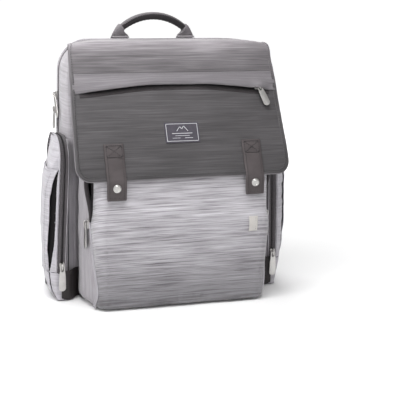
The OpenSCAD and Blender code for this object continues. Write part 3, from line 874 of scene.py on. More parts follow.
P[..., 1] += wob(P[..., 0] * 0.6, P[..., 2] * 2.2, 31, 1 / 70, 0.5) * (pin == 0)
P2 = cloth(P, pin, (0, -1, 0), pressure=3.0, shrink=-0.028, frames=22, cap=4.0, bend=0.25)
P2 = soften(P2, 1)
# creases: shallow horizontal slubs and gathers along the lower edge
x, z = P2[..., 0], P2[..., 2]
front = smooth(-P2[..., 1], 108, 120)
P2[..., 1] += front * (wob(x * 0.25, z * 3.0, 41, 1 / 34, 0.42) + wob(x, z, 42, 1 / 90, 0.8))
P2[..., 1] += front * 0.9 * np.sin(x * 2 * pi / 17 + 2 * np.sin(x / 31)) * (1 - smooth(z, 8, 34)) * smooth(z, 3, 10)
P2[..., 1] = np.maximum(P2[..., 1], -128.5)
tf = smooth(z, 180, 208)
P2[..., 1] = P2[..., 1] * (1 - tf) + np.maximum(P2[..., 1], -118.2) * tf
PANEL = P2
sheet("front_panel_fabric", P2, ["light", "lining"], "bag", 2.2, out=(0, -1, 0), rep=("front_panel",),
      uv=lambda G: np.stack([np.where(np.abs(G[..., 0]) < 130, G[..., 0], G[..., 0] + np.sign(G[..., 0]) * (G[..., 1] + 110)), G[..., 2] + 0.35 * G[..., 1]], -1) * 0.001)


def panel_y(x0, z0):
    d = (PANEL[..., 0] - x0) ** 2 + (PANEL[..., 2] - z0) ** 2 + np.where(PANEL[..., 1] > -100, 1e6, 0)
    i, j = np.unravel_index(np.argsort(d.ravel())[:4], d.shape)
    return float(PANEL[i, j, 1].mean())


# zips of the front pocket, piping and the dark inside
for s, nm in ((-1, "left"), (1, "right")):
    m1 = np.array([s, 1, 1])
    # open run: one tape on the gusset's edge, one on the panel's edge
    za = np.linspace(139, 206, 26)
    gx, gy = seam(za)
    gx = gx + 9.0 * smooth(za, 141, 205)
    A_ = np.stack([np.stack([gx + 0.4, gy + 0.2, za], 1), np.stack([gx - 1.6, gy - 1.4, za], 1), np.stack([gx - 1.6 - 4.6 * smooth(za, 139, 165), gy - 1.2, za], 1)], 1) * m1
    sheet("front_tape_gusset_" + nm, A_, "tape", "bag", 0.7, out=(s, -0.3, 0))
    rows = [i for i in range(nz_) if PANEL[i, 0, 2] > 139]
    ed = PANEL[rows, 0 if s < 0 else -1]
    ow = smooth(ed[:, 2], 139, 150)[:, None]
    B_ = np.stack([ed + np.array([-s * 1.0, 0.6, 0]), ed + np.array([s * 0.6, 1.2, 0]) * ow, ed + np.array([s * 2.6, 1.6, 0]) * ow], 1)
    sheet("front_tape_panel_" + nm, B_, "tape", "bag", 0.7, out=(0.3 * s, -1, 0))
    coil("front_coil_gusset_" + nm, A_[3:, 2], (0.3 * s, -1, 0), "coil", "bag", w=0.8, r=0.4, h=0.3)
    coil("front_coil_panel_" + nm, B_[3:, 2], (0.3 * s, -1, 0), "coil", "bag", w=0.8, r=0.4, h=0.3)
    # closed run
    c = seam_path(2, 140) * m1
    wd_ = (0.55 + 0.45 * smooth(c[:, 2], 84, 104))[:, None]
    W_ = np.stack([c + np.array([s * 0.2, 2.4, 0]) * wd_, c + np.array([s * 0.9, 0, 0]), c + np.array([s * 0.1, -2.4, 0]) * wd_], 1)
    sheet("front_zip_tape_" + nm, W_, "tape", "bag", 0.7, out=(s, -0.3, 0), rep=("front_zips",) if s < 0 else ())
    coil("front_zip_coil_" + nm, c[c[:, 2] > 88], (s, -0.35, 0), "coil", "bag", w=1.1, r=0.45, h=1.0)
    # piping just in front of the seam
    c2 = seam_path(1.5, 140, dy=-3.3, dx=0.7) * m1
    tube("front_piping_" + nm, c2, 1.3, "side", "bag", seg=10)
    c3 = seam_path(1.5, 140, dy=3.0, dx=0.9) * m1
    tube("gusset_piping_" + nm, c3, 1.1, "side", "bag", seg=8)
# pocket's inner bag in near-black cloth: painted shade for the inside seen through the open zip
cols = []
for y in (-24.5, -40, -60, -80, -92, -104, -110):
    f = smooth(-y, 80, 112)
    L = rr(145.0 - 7 * f, 4.5, 206, 12, 12, 120)
    cols.append(np.stack([L[:, 0], np.full(120, y), L[:, 1]], 1))
P = np.stack(cols, 1)
sheet("front_pocket_inner_shade", P, "dark", "bag", 1.0, out=P - np.array([0, -60, 105]), cu=True)

# ------------------------------------------------------------------ side pockets
SY0, SY1 = -45.0, 56.0
AR = 40.0
ZT = 268.0


def sidewidth(z):
    """How far the side pocket's outer face stands from the body at height z."""
    return np.interp(z, [-5, 0, 3, 8, 14, 26, 50, 90, 130, 180, 205, 225, 242, 256, 268], [17, 18, 20.5, 24, 27, 31, 34.7, 37.2, 37.4, 35.5, 33, 29.5, 25.5, 22.5, 20.5])


def recede(y):
    """How much the outer face falls back towards the rear of the pocket."""
    return np.interp(y, [-60, -28, -10, 10, 30, 45, 60], [0, 0, 0.8, 3.0, 8.5, 14, 17])


def band_x(z):
    """Inner edge of the pocket's zip band."""
    return 179.0 - 0.0344 * np.clip(z - 58.0, 0, 165)


def archloop(z0, ins, n_=150, zt=ZT):
    def arc(cy, cz, r, a0, a1, k=16):
        r = max(r, 0.6)
        return [(cy + r * cos(t), cz + r * sin(t)) for t in np.linspace(a0, a1, k)]
    y0, y1, zb = SY0 + ins, SY1 - ins, z0 + ins * 0.9
    zt = zt - ins
    R = min(max(AR - ins, 3.0), (y1 - y0) / 2 - 0.2)
    pts = [((y0 + y1) / 2, zb), (y1 - 3, zb), (y1, zb + 3)] + arc(y1 - R, zt - R, R, 0, pi / 2) + arc(y0 + R, zt - R, R, pi / 2, pi) + [(y0, zb + 3), (y0 + 3, zb)]
    return resample(pts, n_, True)


RY = 17.0


def face_x(f, z, y):
    xo = band_x(z) + 12.4
    return xo + (half + sidewidth(z) - xo) * f - recede(y) * f


def side(s, nm):
    body, bag = "side_door_" + nm, "bag"
    mm = np.array([s, 1, 1])     # built on +X, mirrored for the left
    L = archloop(40, 0, 440)
    idx_ = [i for i in range(440) if L[i, 1] > 44]
    st = next(i for i in idx_ if (i - 1) not in idx_)
    Lp = L[st:idx_[-1] + 1][::3]
    T = np.gradient(Lp, axis=0)
    T /= np.linalg.norm(T, axis=1, keepdims=True)
    Nn = np.stack([T[:, 1], -T[:, 0]], 1)
    if np.sum(Nn * (Lp - [6, 150])) < 0:
        Nn = -Nn
    N3 = np.stack([np.zeros(len(Lp)), Nn[:, 0], Nn[:, 1]], 1)
    bx = band_x(Lp[:, 1])

    def rail(dx, dn):
        return np.stack([bx + dx, Lp[:, 0] + Nn[:, 0] * dn, Lp[:, 1] + Nn[:, 1] * dn], 1)
    G2 = np.stack([rail(-1.6, -2.5), rail(-0.6, -0.4), rail(1.2, 0.15), rail(4.2, -0.5), rail(5.4, -1.1), rail(6.6, -1.1), rail(7.8, -0.5), rail(11, 0.1), rail(12.6, -0.3), rail(13.6, -2.0)], 1)
    sheet("side_zip_tape_" + nm, G2 * mm, "tapewide", bag, 1.0, out=np.repeat(N3[:, None], G2.shape[1], 1), rep=("side_zips",) if s < 0 else ())
    coil("side_zip_coil_" + nm, rail(6.0, -1.0) * mm, N3, "coil", bag, w=1.5, r=0.5, h=0.35)
    tube("side_seam_piping_" + nm, rail(-1.0, -1.2)[::2] * mm, 1.0, "tapewide", bag, seg=8)
    for k, dx in enumerate((2.2, 10.2)):
        stitches("side_zip_stitch_%s_%d" % (nm, k), [(rail(dx, 0.25) * mm, N3)], "thread", bag)
    # corner cloth between the front pocket and the zip band
    zs = np.concatenate([[1.0, 4.0, 10.0], np.linspace(20, 225, 30), np.linspace(229, 264.4, 12)])
    G = []
    for z in zs:
        ye = SY0 if z < 228 else SY0 + AR - math.sqrt(max(AR ** 2 - (z - 228) ** 2, 0))
        ye = min(ye, -21.2)
        B = np.array([float(band_x(z)) - 0.4, ye + 0.5])
        A = np.array([150.8, -21.8])
        C = np.array([163.0, min(-23.0, ye + 14)])
        t = np.linspace(0, 1, 14)[:, None]
        G.append(np.hstack([(1 - t) ** 2 * A + 2 * t * (1 - t) * C + t ** 2 * B, np.full((14, 1), z)]))
    G = np.stack(G, 1)
    fold = 0.9 * np.sin(np.linspace(0, 2.4 * pi, 14))[:, None] * np.ones(G.shape[1])[None] + wob(G[..., 0] * 2.0, G[..., 2] * 0.25, 58 + s, 1 / 26, 0.8) * np.sin(np.linspace(0, pi, 14))[:, None]
    G[..., 1] -= fold
    sheet("front_corner_cloth_" + nm, G * mm, "gusset", bag, 1.8, out=(0.3 * s, -1, 0), uv=lambda Q: np.stack([Q[..., 2], Q[..., 0] * 1.3 + Q[..., 1] * 0.4], -1) * 0.001)
    # wall of the pouch behind the door
    G = np.stack([np.stack([np.full(150, half + off_), L_[:, 0], L_[:, 1]], 1) for off_, L_ in ((3.4, archloop(4, 2.4)), (5.6, archloop(4, 8)), (7.0, archloop(4, 18)), (7.2, archloop(4, 34)))], 1)
    sheet("side_pouch_wall_" + nm, G * mm, "lining", bag, 1.4, out=(s, 0, 0), cu=True, cap1=True)
    # door
    nd = 190
    edge = archloop(47.4, 0, nd)
    defs = []
    for t in np.linspace(0, 1, 18):
        a = t * pi / 2
        defs.append((0.10 + 0.90 * sin(a), RY * (1 - cos(a))))
    defs += [(1.0, i) for i in (19, 21.5, 24.5, 28, 32, 36.5)]
    G = []
    for f, ins in defs:
        Lq = archloop(47.4, ins, nd)
        low = 1 - smooth(Lq[:, 1], 52, 72)
        zz = np.maximum(Lq[:, 1] - low * ins * 0.9, 47.4 + 0.02 * ins)
        G.append(np.stack([face_x(f, zz, Lq[:, 0]), Lq[:, 0], zz], 1))
    G = np.stack(G, 1)
    pin_ = np.zeros(G.shape[:2])
    pin_[:, 0] = 1
    pin_[:, 1] = 0.6
    pin_[edge[:, 1] < 52, :] = 1
    ctr = np.array([half, 6, 150])
    outv = np.stack([np.ones(G.shape[:2]), np.zeros(G.shape[:2]), np.zeros(G.shape[:2])], 2) + (G - ctr) * 0.02
    G = cloth(G, pin_, outv, cu=True, pressure=2.0, shrink=-0.015, frames=16, cap=2.0, bend=0.3)
    yy, zz = G[..., 1], G[..., 2]
    amp = smooth(G[..., 0], half + 18, half + 30) * smooth(zz, 48, 70)
    G[..., 0] += amp * (wob(yy, zz * 1.6, 51 if s < 0 else 52, 1 / 48, 0.7) + wob(yy * 0.4, zz * 3, 53, 1 / 30, 0.3))
    G[..., 0] = np.minimum(G[..., 0], half + 41.0)
    DG = G.copy()
    side_uv = lambda Q: np.stack([Q[..., 1] + 0.8 * np.abs(Q[..., 0]), Q[..., 2]], -1) * 0.001
    sheet("side_door_fabric_" + nm, G * mm, ["side", "lining"], body, 2.2, out=outv * mm, cu=True, cap1=True, rep=(body,), uv=side_uv)
    tube("side_door_piping_" + nm, (DG[:, 1] + (DG[:, 1] - DG[:, 0]) * 0.2) * mm, 1.2, "side", body, seg=8, closed=True)

    def section(z, k=90):
        """The door's outline at height z, from its front edge to its back edge."""
        fr, bk = [], []
        for j in range(DG.shape[1]):
            c = DG[:, j]
            for keep, out_ in ((c[:, 1] < 5.5 - 0.0, fr), (c[:, 1] >= 5.5, bk)):
                q = c[keep & (c[:, 2] > 45)]
                top = q[:, 2].max()
                q = q[np.argsort(q[:, 2])]
                m_ = q[:, 2] < 228 - 0
                q = q[m_] if m_.sum() > 3 else q
                out_.append((np.interp(z, q[:, 2], q[:, 0]), np.interp(z, q[:, 2], q[:, 1])))
        return resample(np.array(fr + bk[::-1]), k)

    def boot_section(z, k=90, lift=0.0):
        pts = []
        zc = max(z, 0.0)
        low = 4.0 * (1 - math.sqrt(max(0, 1 - ((9 - min(z, 9)) / 9) ** 2)))
        for f, ins in defs:
            y = SY0 + ins + low
            pts.append((float(face_x(f, zc, y)), y))
        for y in (0.0, 10.0, 20.0):
            pts.append((float(face_x(1.0, zc, y)), y))
        for f, ins in defs[::-1]:
            y = SY1 - ins - low
            pts.append((float(face_x(f, zc, y)), y))
        return resample(np.array(pts), k)

    # lower part of the pocket, fixed to the body
    G = []
    zb = [46.8, 40, 30, 20, 13, 8, 5, 3.0, 1.8, 1.2]
    for z in zb:
        q = boot_section(z)
        fl = np.array([(half + 0.8, SY0 + 4.0)])
        q = np.vstack([[(float(band_x(z)) + 1, SY0 + 0.8)], [(float(band_x(z)) + 8, SY0 + 0.2)], q, [(half + 6, SY1 - 1)], [(half + 0.6, SY1 - 2)]])
        G.append(np.hstack([q, np.full((len(q), 1), z)]))
    G = np.stack(G, 1)
    G[..., 0] += wob(G[..., 1], G[..., 2] * 2, 61, 1 / 40, 0.4) * smooth(G[..., 0], half + 20, half + 30) * smooth(G[..., 2], 4, 15) * (1 - smooth(G[..., 2], 36, 46))
    BT = G.copy()
    sheet("side_boot_fabric_" + nm, G * mm, ["side", "lining"], bag, 2.0, out=np.array([s, -0.2, 0]) + 0 * G, rep=("side_pouches",) if s < 0 else (), uv=side_uv)
    tube("side_boot_piping_" + nm, (G[:, 7] + np.array([0.4, 0, 0])) * mm, 1.3, "side", bag, seg=8)
    Fl = G[:, -1]
    ctr2 = np.array([half + 4, 6, 1.0])
    G3 = np.stack([Fl, Fl * 0.6 + ctr2 * 0.4, Fl * 0.2 + ctr2 * 0.8], 1)
    sheet("side_boot_base_" + nm, G3 * mm, "guard", bag, 0.8, out=(0, 0, -1))

    # slip pocket over the outside: open along its front edge, a dark slit made with painted shade
    s_edge = lambda z: float(np.interp(z, [0, 14, 50, 90, 130, 170, 190, 205, 214, 219], [13, 15.5, 14.5, 13.5, 13.0, 13.0, 11.5, 8.6, 5.4, 3.0]))
    s_in = lambda z: float(np.interp(z, [0, 14, 50, 90, 130, 170, 190, 205, 214, 219], [12, 12.0, 8.0, 5.8, 4.6, 4.6, 4.6, 4.2, 3.4, 2.4]))
    gape = lambda z: float(np.interp(z, [0, 10, 30, 60, 110, 160, 195, 210, 219], [0.4, 1.0, 2.6, 4.0, 4.8, 4.6, 3.2, 1.4, 0.3]))

    def skins(z, sec):
        d = np.concatenate([[0], np.cumsum(np.linalg.norm(np.diff(sec, axis=0), axis=1))])
        tn = np.gradient(sec, axis=0)
        tn /= np.linalg.norm(tn, axis=1, keepdims=True)
        nn = np.stack([-tn[:, 1], tn[:, 0]], 1)
        if nn[len(nn) // 2, 0] < 0:
            nn = -nn
        def at(q, off):
            off = np.broadcast_to(off, q.shape)
            return np.stack([np.interp(q, d, sec[:, 0]) + np.interp(q, d, nn[:, 0]) * off, np.interp(q, d, sec[:, 1]) + np.interp(q, d, nn[:, 1]) * off, np.full(len(q), z)], 1)
        e, end = s_edge(z) + (7.0 if s > 0 else 0.0), d[-1] - 22
        shut = 1 - float(smooth(z, 47, 98)) ** 0.6
        open_ = gape(z) * (0.3 if s > 0 else 1.0) * (1 - 0.85 * shut)
        i0 = s_in(z) if s < 0 else e - 1.6
        i0 = i0 + (e - 1.2 - i0) * shut
        t = np.concatenate([[0, 0.02, 0.05], np.linspace(0.1, 1, 20)])
        q = e + (end - e) * t
        over = at(q, 1.9 + open_ * np.exp(-((q - e) / 15.0) ** 2) + 0.6 * np.sin(pi * t))
        # near-black strip on the door inside the slit: painted shade
        q2 = np.linspace(i0, e + 9, 9)
        dark = at(q2, 0.35 + 0.5 * np.sin(np.linspace(0, pi, 9)))
        return over, dark

    for tag, zr, src, bd in (("", np.concatenate([[47.7, 50], np.linspace(56, 200, 30), [205, 209, 213, 216, 218.4]]), section, body), ("_low", np.array([47.1, 44, 40, 34, 27, 20, 14, 9, 5.5, 3.2]), boot_section, bag)):
        O, D_ = zip(*[skins(float(z), src(float(z))) for z in zr])
        O, D_ = np.stack(O, 1), np.stack(D_, 1)
        if not tag:
            O[:, 1:-1] = soften(O, 1)[:, 1:-1]
        # the overlay's inner faces and the slit strip use the near-black cloth: painted shade under the overlay
        sheet("side_overlay_fabric_" + nm + tag, O * mm, ["side", "dark"], bd, 1.5, out=(s, -0.4, 0), rep=("side_overlay_" + nm,) if not tag else (), uv=side_uv)
        sheet("side_slit_painted_shade_" + nm + tag, D_ * mm, "dark", bd, 0.4, out=(s, -0.4, 0))
        if not tag:
            off = np.array([0.5, -0.1, 0])
            stitches("side_overlay_stitch_" + nm, [((O[2:, -2] + off) * mm, (s, 0, 0)), ((O[3, 2:-2] + off) * mm, (s, -0.6, 0)), ((O[-2, 2:-1] + off) * mm, (s, 0.3, 0))], "thread", bd)


side(-1, "left")
side(1, "right")

# black guards in the front corners, and the base panel
for s, nm in ((-1, "left"), (1, "right")):
    mm = np.array([s, 1, 1])
    pts = resample([(184.5, -46.0), (178, -46.6), (172, -46.4), (167, -42.0), (161.5, -34.0), (157, -28.5), (152.2, -24.6), (150.6, -23.4)], 26)
    zs = np.concatenate([np.linspace(49.5, 8, 12), [5, 3, 1.6, 0.9]])
    G = np.zeros((26, len(zs), 3))
    for b, z in enumerate(zs):
        ins = 0 if z > 8 else 5 * (1 - math.sqrt(max(0, 1 - ((8 - z) / 8) ** 2)))
        for a in range(26):
            x_, y_ = pts[a]
            G[a, b] = (x_ - ins * 0.5, y_ + ins * 0.8, z + (1.6 * sin(a / 25 * pi) if b == 0 else 0))
    G[..., 1] -= 0.8 * np.sin(np.linspace(0, pi, 26))[:, None] + wob(G[..., 0], G[..., 2], 71, 1 / 30, 0.3)
    sheet("base_guard_fabric_" + nm, G * mm, "guard", "bag", 1.4, out=(0.3 * s, -1, 0), rep=("base_guards",) if s < 0 else ())
    stitches("base_guard_stitch_" + nm, [(G[1:, 1] * mm + np.array([0, -0.4, 0]), (0.3 * s, -1, 0))], "threaddark", "bag")
n_ = 120
cols = []
for k in (1.0, 0.96, 0.6, 0.2):
    L = resample([(-146, -19), (-138, -88), (-130, -98), (130, -98), (138, -88), (146, -19), (164, -18), (166, 46), (146, 66), (-146, 66), (-166, 46), (-164, -18)], n_, True)
    cols.append(np.stack([L[:, 0] * k, -10 + (L[:, 1] + 10) * k, np.full(n_, 0.35 if k > 0.98 else 0.05)], 1))
P = np.stack(cols, 1)
sheet("base_panel", P, "guard", "bag", 0.9, out=(0, 0, -1), cu=True, cap1=True)

# ------------------------------------------------------------------ flap
D_DN = np.array([0, -0.42957, -0.90304])
N_UP = np.array([0, -0.90304, 0.42957])
O_F = np.array([0, -24.0, 420.0])


def fpt(x, v, nrm=0.0):
    x, v, nrm = np.broadcast_arrays(np.asarray(x, float), np.asarray(v, float), np.asarray(nrm, float))
    return O_F + x[..., None] * np.array([1, 0, 0]) + v[..., None] * D_DN + nrm[..., None] * N_UP


def lip_edge(x):
    """Distance down the flap of the welt's lower edge."""
    return 76.0 + 11.0 * smooth(np.abs(x) ** 1.2, 30 ** 1.2, 172 ** 1.2)


def relief(x, v):
    """Height of the flap's cloth over its flat plane."""
    r = 3.6 * np.sin(pi * np.clip(v / 54, 0, 1)) ** 1.3 * (1 - (x / 185) ** 4)
    r += 1.2 * smooth(v, 92, 120) * (1 - smooth(v, 176, 215)) * np.clip(1 - (x / 176) ** 4, 0, 1)
    g = lip_edge(x)
    r -= 1.8 * np.exp(-((v - g + 2) / 8.0) ** 2) * np.clip(1 - (np.abs(x) / 172) ** 8, 0, 1)
    r += wob(x * 0.5, v * 1.6, 81, 1 / 110, 0.9) * smooth(v, 8, 30)
    r += wob(x * 0.9, v * 1.3, 83, 1 / 48, 0.55) * smooth(v, 6, 22) * (1 - smooth(v, 46, 60))
    r += wob(x * 0.3, v * 3.0, 82, 1 / 60, 0.28) * smooth(v, 8, 30)
    # the lower edge waves between the straps
    r += 1.6 * smooth(v, 185, 228) * np.cos(np.clip(x / 116, -1.5, 1.5) * pi * 0.5) ** 2 * (np.abs(x) < 116)
    r -= 0.9 * np.exp(-((np.abs(x) - 116) / 20) ** 2) * smooth(v, 150, 195)
    return r


flat = [(16, 418.8), (8, 420.0), (0, 420.5), (-13.6, 420.6)]
a0, a1 = pi / 2, pi / 2 + radians(64.56)
ca = (-13.6, 420.6 - 16)
arc_ = [(ca[0] + 16 * cos(t), ca[1] + 16 * sin(t)) for t in np.linspace(a0, a1, 10)]
pr = resample(flat + arc_[1:], 22)
end = pr[-1]
v0 = float((np.array([0, end[0], end[1]]) - O_F) @ D_DN)
n0 = float((np.array([0, end[0], end[1]]) - O_F) @ N_UP)
vs = np.concatenate([np.linspace(v0 + 2.6, 200, 74), 200 + 28 * np.sin(np.linspace(0.06, 1, 16) * pi / 2)])


def fw(v):
    w = 170 + 8 * np.clip(v / 206, 0, 1)
    c = np.clip(v - 206, 0, 22)
    return np.where(v > 206, 156 + np.sqrt(np.maximum(22 ** 2 - c ** 2, 0)), w)


nx2 = 132
tt = np.sin(np.linspace(-1, 1, nx2) * pi / 2 * 0.86) / sin(pi / 2 * 0.86)
F1 = np.zeros((nx2, len(pr) + len(vs), 3))
for j, (y, z) in enumerate(pr):
    xx = tt * (170 - 8 * (1 - j / (len(pr) - 1)) ** 1.2)
    lift = 0.8 * np.sin(np.linspace(0, 3 * pi, nx2)) * 0.4
    drop = -14.0 * np.clip((np.abs(xx) - 112) / 54, 0, 1) ** 1.8 * (1 - j / (len(pr) - 1)) ** 0.9
    F1[:, j] = np.stack([xx, np.full(nx2, y), z + lift + drop], 1)
for j, v in enumerate(vs):
    xx = tt * float(fw(v))
    blend_ = smooth(v, v0, v0 + 14)
    F1[:, len(pr) + j] = fpt(xx, v, relief(xx, v) + n0 * (1 - blend_))
FL = F1


def flap_uv(G):
    """Streaks run across the flap; V follows the cloth from seam to lower edge."""
    b = np.linalg.norm(np.diff(G, axis=1), axis=2)
    b = np.hstack([np.zeros((G.shape[0], 1)), np.cumsum(b, 1)])
    return np.stack([G[..., 0], np.repeat(b[nx2 // 2][None], G.shape[0], 0)], -1) * 0.001


ob = sheet("flap_fabric", FL, ["flap", "lining"], None, 2.6, out=(0, -1, 0.5), rep=("flap_panel", "flap_top_sheet"), uv=flap_uv)
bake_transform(ob)


def edge_band(jr, wid=6.5, lift=0.7, nm="flap_binding_fabric"):
    """Bound edge: down one side, round the lower corners, up the other."""
    N = gnormals(FL)
    if np.sum(N * np.array([0, -1, 0.5])) < 0:
        N = -N
    loop = [(0, j) for j in range(jr, FL.shape[1])] + [(i, FL.shape[1] - 1) for i in range(1, nx2 - 1)] + [(nx2 - 1, j) for j in range(FL.shape[1] - 1, jr - 1, -1)]
    pts = np.array([FL[i, j] for i, j in loop])
    nn = np.array([N[i, j] for i, j in loop])
    k = int(length(pts) / 3.0)
    p = resample(pts, k)
    q = resample(nn, k)
    for _ in range(3):
        q[1:-1] = (q[:-2] + q[1:-1] * 2 + q[2:]) / 4
        p[1:-1] = (p[:-2] + p[1:-1] * 6 + p[2:]) / 8
    q /= np.linalg.norm(q, axis=1, keepdims=True)
    T = np.gradient(p, axis=0)
    T /= np.linalg.norm(T, axis=1, keepdims=True)
    I = np.cross(q, T)
    ctr = np.array([0, -70, 320])
    if np.sum(I * (ctr - p)) < 0:
        I = -I
    return p, q, I


bp_, bn_, bi_ = edge_band(14)
prof = [(0.25, wid) for wid in ()]
sec = [(0.1, 5.6), (0.8, 5.2), (1.25, 3.4), (1.1, 0.6), (0.3, -0.8), (-1.3, -1.3), (-2.7, -0.9), (-3.4, 0.4), (-3.5, 3.0), (-3.3, 5.2), (-2.7, 5.6)]
rings = np.stack([bp_ + bn_ * a + bi_ * b for a, b in sec], 1)
Vb = rings.reshape(-1, 3)
sg = len(sec)
Fb, FUb = [], []
sl = np.concatenate([[0], np.cumsum(np.linalg.norm(np.diff(bp_, axis=0), axis=1))]) * 0.001
for i in range(len(bp_) - 1):
    for j in range(sg):
        Fb.append([i * sg + j, (i + 1) * sg + j, (i + 1) * sg + (j + 1) % sg, i * sg + (j + 1) % sg])
        FUb.append([(sl[i], j * 0.002), (sl[i + 1], j * 0.002), (sl[i + 1], j * 0.002 + 0.002), (sl[i], j * 0.002 + 0.002)])
for i in (0, len(bp_) - 1):
    Fb.append([i * sg + j for j in range(sg)])
    FUb.append([(0, 0)] * sg)
ob = raw("flap_binding_fabric", Vb, Fb, "flap", None, faceuv=FUb, rep=("flap_binding",))
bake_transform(ob)
ob = stitches("flap_edge_stitch", [(bp_ + bn_ * 1.15 + bi_ * 3.9, bn_)], "threaddark", None, pitch=4.2, ln=2.7, r=0.62)
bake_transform(ob)
# lighter cord along the flap's bound edge, in the lip cloth: painted highlight where the edge catches the light
ob = tube("flap_edge_highlight_cord", bp_ - bn_ * 0.9 - bi_ * 1.0, 1.15, "lip", None, seg=8, ref=bn_)
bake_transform(ob)
# darker cloth over the body under the flap, following the shoulders: painted shade for the hollow under the flap
fl_ = rr(half + 0.5, 0, H + 0.6, 50.5, 12, 900)
fl_ = fl_[fl_[:, 1] > 332]
fl_ = np.concatenate([fl_[fl_[:, 0] > 0][np.argsort(np.arctan2(fl_[fl_[:, 0] > 0][:, 1] - 330, fl_[fl_[:, 0] > 0][:, 0]))], fl_[fl_[:, 0] <= 0][np.argsort(np.arctan2(fl_[fl_[:, 0] <= 0][:, 1] - 330, fl_[fl_[:, 0] <= 0][:, 0]))]])
fl_ = resample(fl_, 150)
Tf = np.gradient(fl_, axis=0)
Tf /= np.linalg.norm(Tf, axis=1, keepdims=True)
Nf = np.stack([Tf[:, 1], -Tf[:, 0]], 1)
G = []
for y, d in ((-18.9, -1.6), (-20.2, -2.8), (-21.2, -4.4), (-21.8, -7.0), (-22.0, -16.0), (-22.0, -34.0)):
    G.append(np.stack([fl_[:, 0] + Nf[:, 0] * d, np.full(len(fl_), y), fl_[:, 1] + Nf[:, 1] * d], 1))
sheet("flap_hollow_shade_sheet", np.stack(G, 1), "gusset", "bag", 0.9, out=(0, -1, 0.6))

# welt lip over the zip of the flap pocket
kx = 120
xl = np.linspace(-1, 1, kx)
ed = lip_edge(xl * 171)
xx = xl * 171.5
endf = smooth(171.5 - np.abs(xx), 0, 34)
bump_ = 4.4 * np.exp(-((xx - 140) / 15) ** 2)
G = []
for t, hh in ((0.0, 0.4), (0.03, 0.9), (0.1, 1.9), (0.2, 3.3), (0.32, 4.9), (0.45, 6.3), (0.58, 7.3), (0.7, 7.8), (0.82, 7.9), (0.92, 7.4), (0.98, 6.6), (1.0, 5.8)):
    v = 54.5 + (ed - 54.5) * t
    hgt = 0.35 + hh * (0.1 + 0.9 * endf) + bump_ * smooth(t, 0.2, 0.9) * 0.8
    # gathers that run together towards the slider's end
    gt = np.sin((v - 56) / 2.1 + (xx - 171) * 0.035 * (v - 66) * 0.3) * np.exp(-((xx - 150) / 26) ** 2) * 1.5
    gl = np.sin((v - 56) / 2.6 - (xx + 171) * 0.01 * (v - 66) * 0.3) * np.exp(-((xx + 160) / 16) ** 2) * 0.4
    w = (wob(xx, v * 1.2, 91, 1 / 60, 0.55) * (0.3 + 0.7 * endf) + gt + gl) * smooth(t, 0.05, 0.4)
    G.append(fpt(xx, v, hgt + w + relief(xx, v) * (1 - smooth(t, 0.5, 1.0) * endf) * (0.6 + 0.4 * (1 - endf))))
G = np.stack(G, 1)
sheet("flap_welt_fabric", G, "lip", "flap_front", 2.0, out=(0, -1, 0.5), rep=("flap_welt",), uv=lambda Q: np.stack([Q[..., 0], np.repeat(np.linspace(0, 0.026, Q.shape[1])[None], Q.shape[0], 0)], -1) * np.array([0.001, 1]))
stitches("flap_welt_stitch", [(fpt(xx[2:-2], np.full(kx - 4, 56.5), 2.6 + relief(xx[2:-2], 56.5) * 0.6), N_UP), (fpt(xx[2:-2], np.full(kx - 4, 51.5), relief(xx[2:-2], np.full(kx - 4, 51.5)) + 0.3), N_UP)], "thread", "flap_front")
# zip under the lip
zc = ed + 0.5
G = np.stack([fpt(xx * 0.97, zc + d, relief(xx * 0.97, zc + d) + 0.55) for d in (-9, -4, 0, 4, 6.4)], 1)[2:-2]
sheet("flap_zip_tape", G, "tape", "flap_front", 0.8, out=(0, -1, 0.5), rep=("flap_zip",))
coil("flap_zip_coil", fpt(xx * 0.97, zc - 1, relief(xx, zc) + 0.7)[3:-3], N_UP, "coil", "flap_front", h=0.6)

# woven label: a plain patch with a border, a peak and bars
LB = mtx((1, 0, 0), (0, 0.42957, 0.90304), (0, -0.90304, 0.42957), fpt(0, 155, float(relief(np.array(0.0), np.array(155.0))) + 0.95))
plate("woven_label_patch", [rounded(58, 34, 1.2)], 1.1, 0.35, LB, "label", "flap_front", rep=("woven_label",))


def lab(pts, nm, closed=False, r=0.42):
    p = np.array([LB[:3, 3] + LB[:3, 0] * x + LB[:3, 1] * y + LB[:3, 2] * 0.62 for x, y in pts])
    p = resample(p, max(6, int(length(p) / 1.5)))
    tube(nm, p, r, "threadlight", "flap_front", seg=6, ref=LB[:3, 2], flat=0.55)


rect = [(-26.2, -14.2), (26.2, -14.2), (26.2, 14.2), (-26.2, 14.2), (-26.2, -14.2)]
lab(rect, "label_border")
lab([(-9, 2.2), (-3.2, 9.6), (0, 5.6), (3.4, 10.6), (10, 2.2)], "label_peaks", r=0.5)
lab([(-17, -1.6), (17, -1.6)], "label_bar_a", r=0.5)
lab([(-12, -5.4), (12, -5.4)], "label_bar_b", r=0.36)
lab([(-17, -9.2), (-4, -9.2)], "label_bar_c", r=0.36)
lab([(4, -9.2), (17, -9.2)], "label_bar_d", r=0.36)

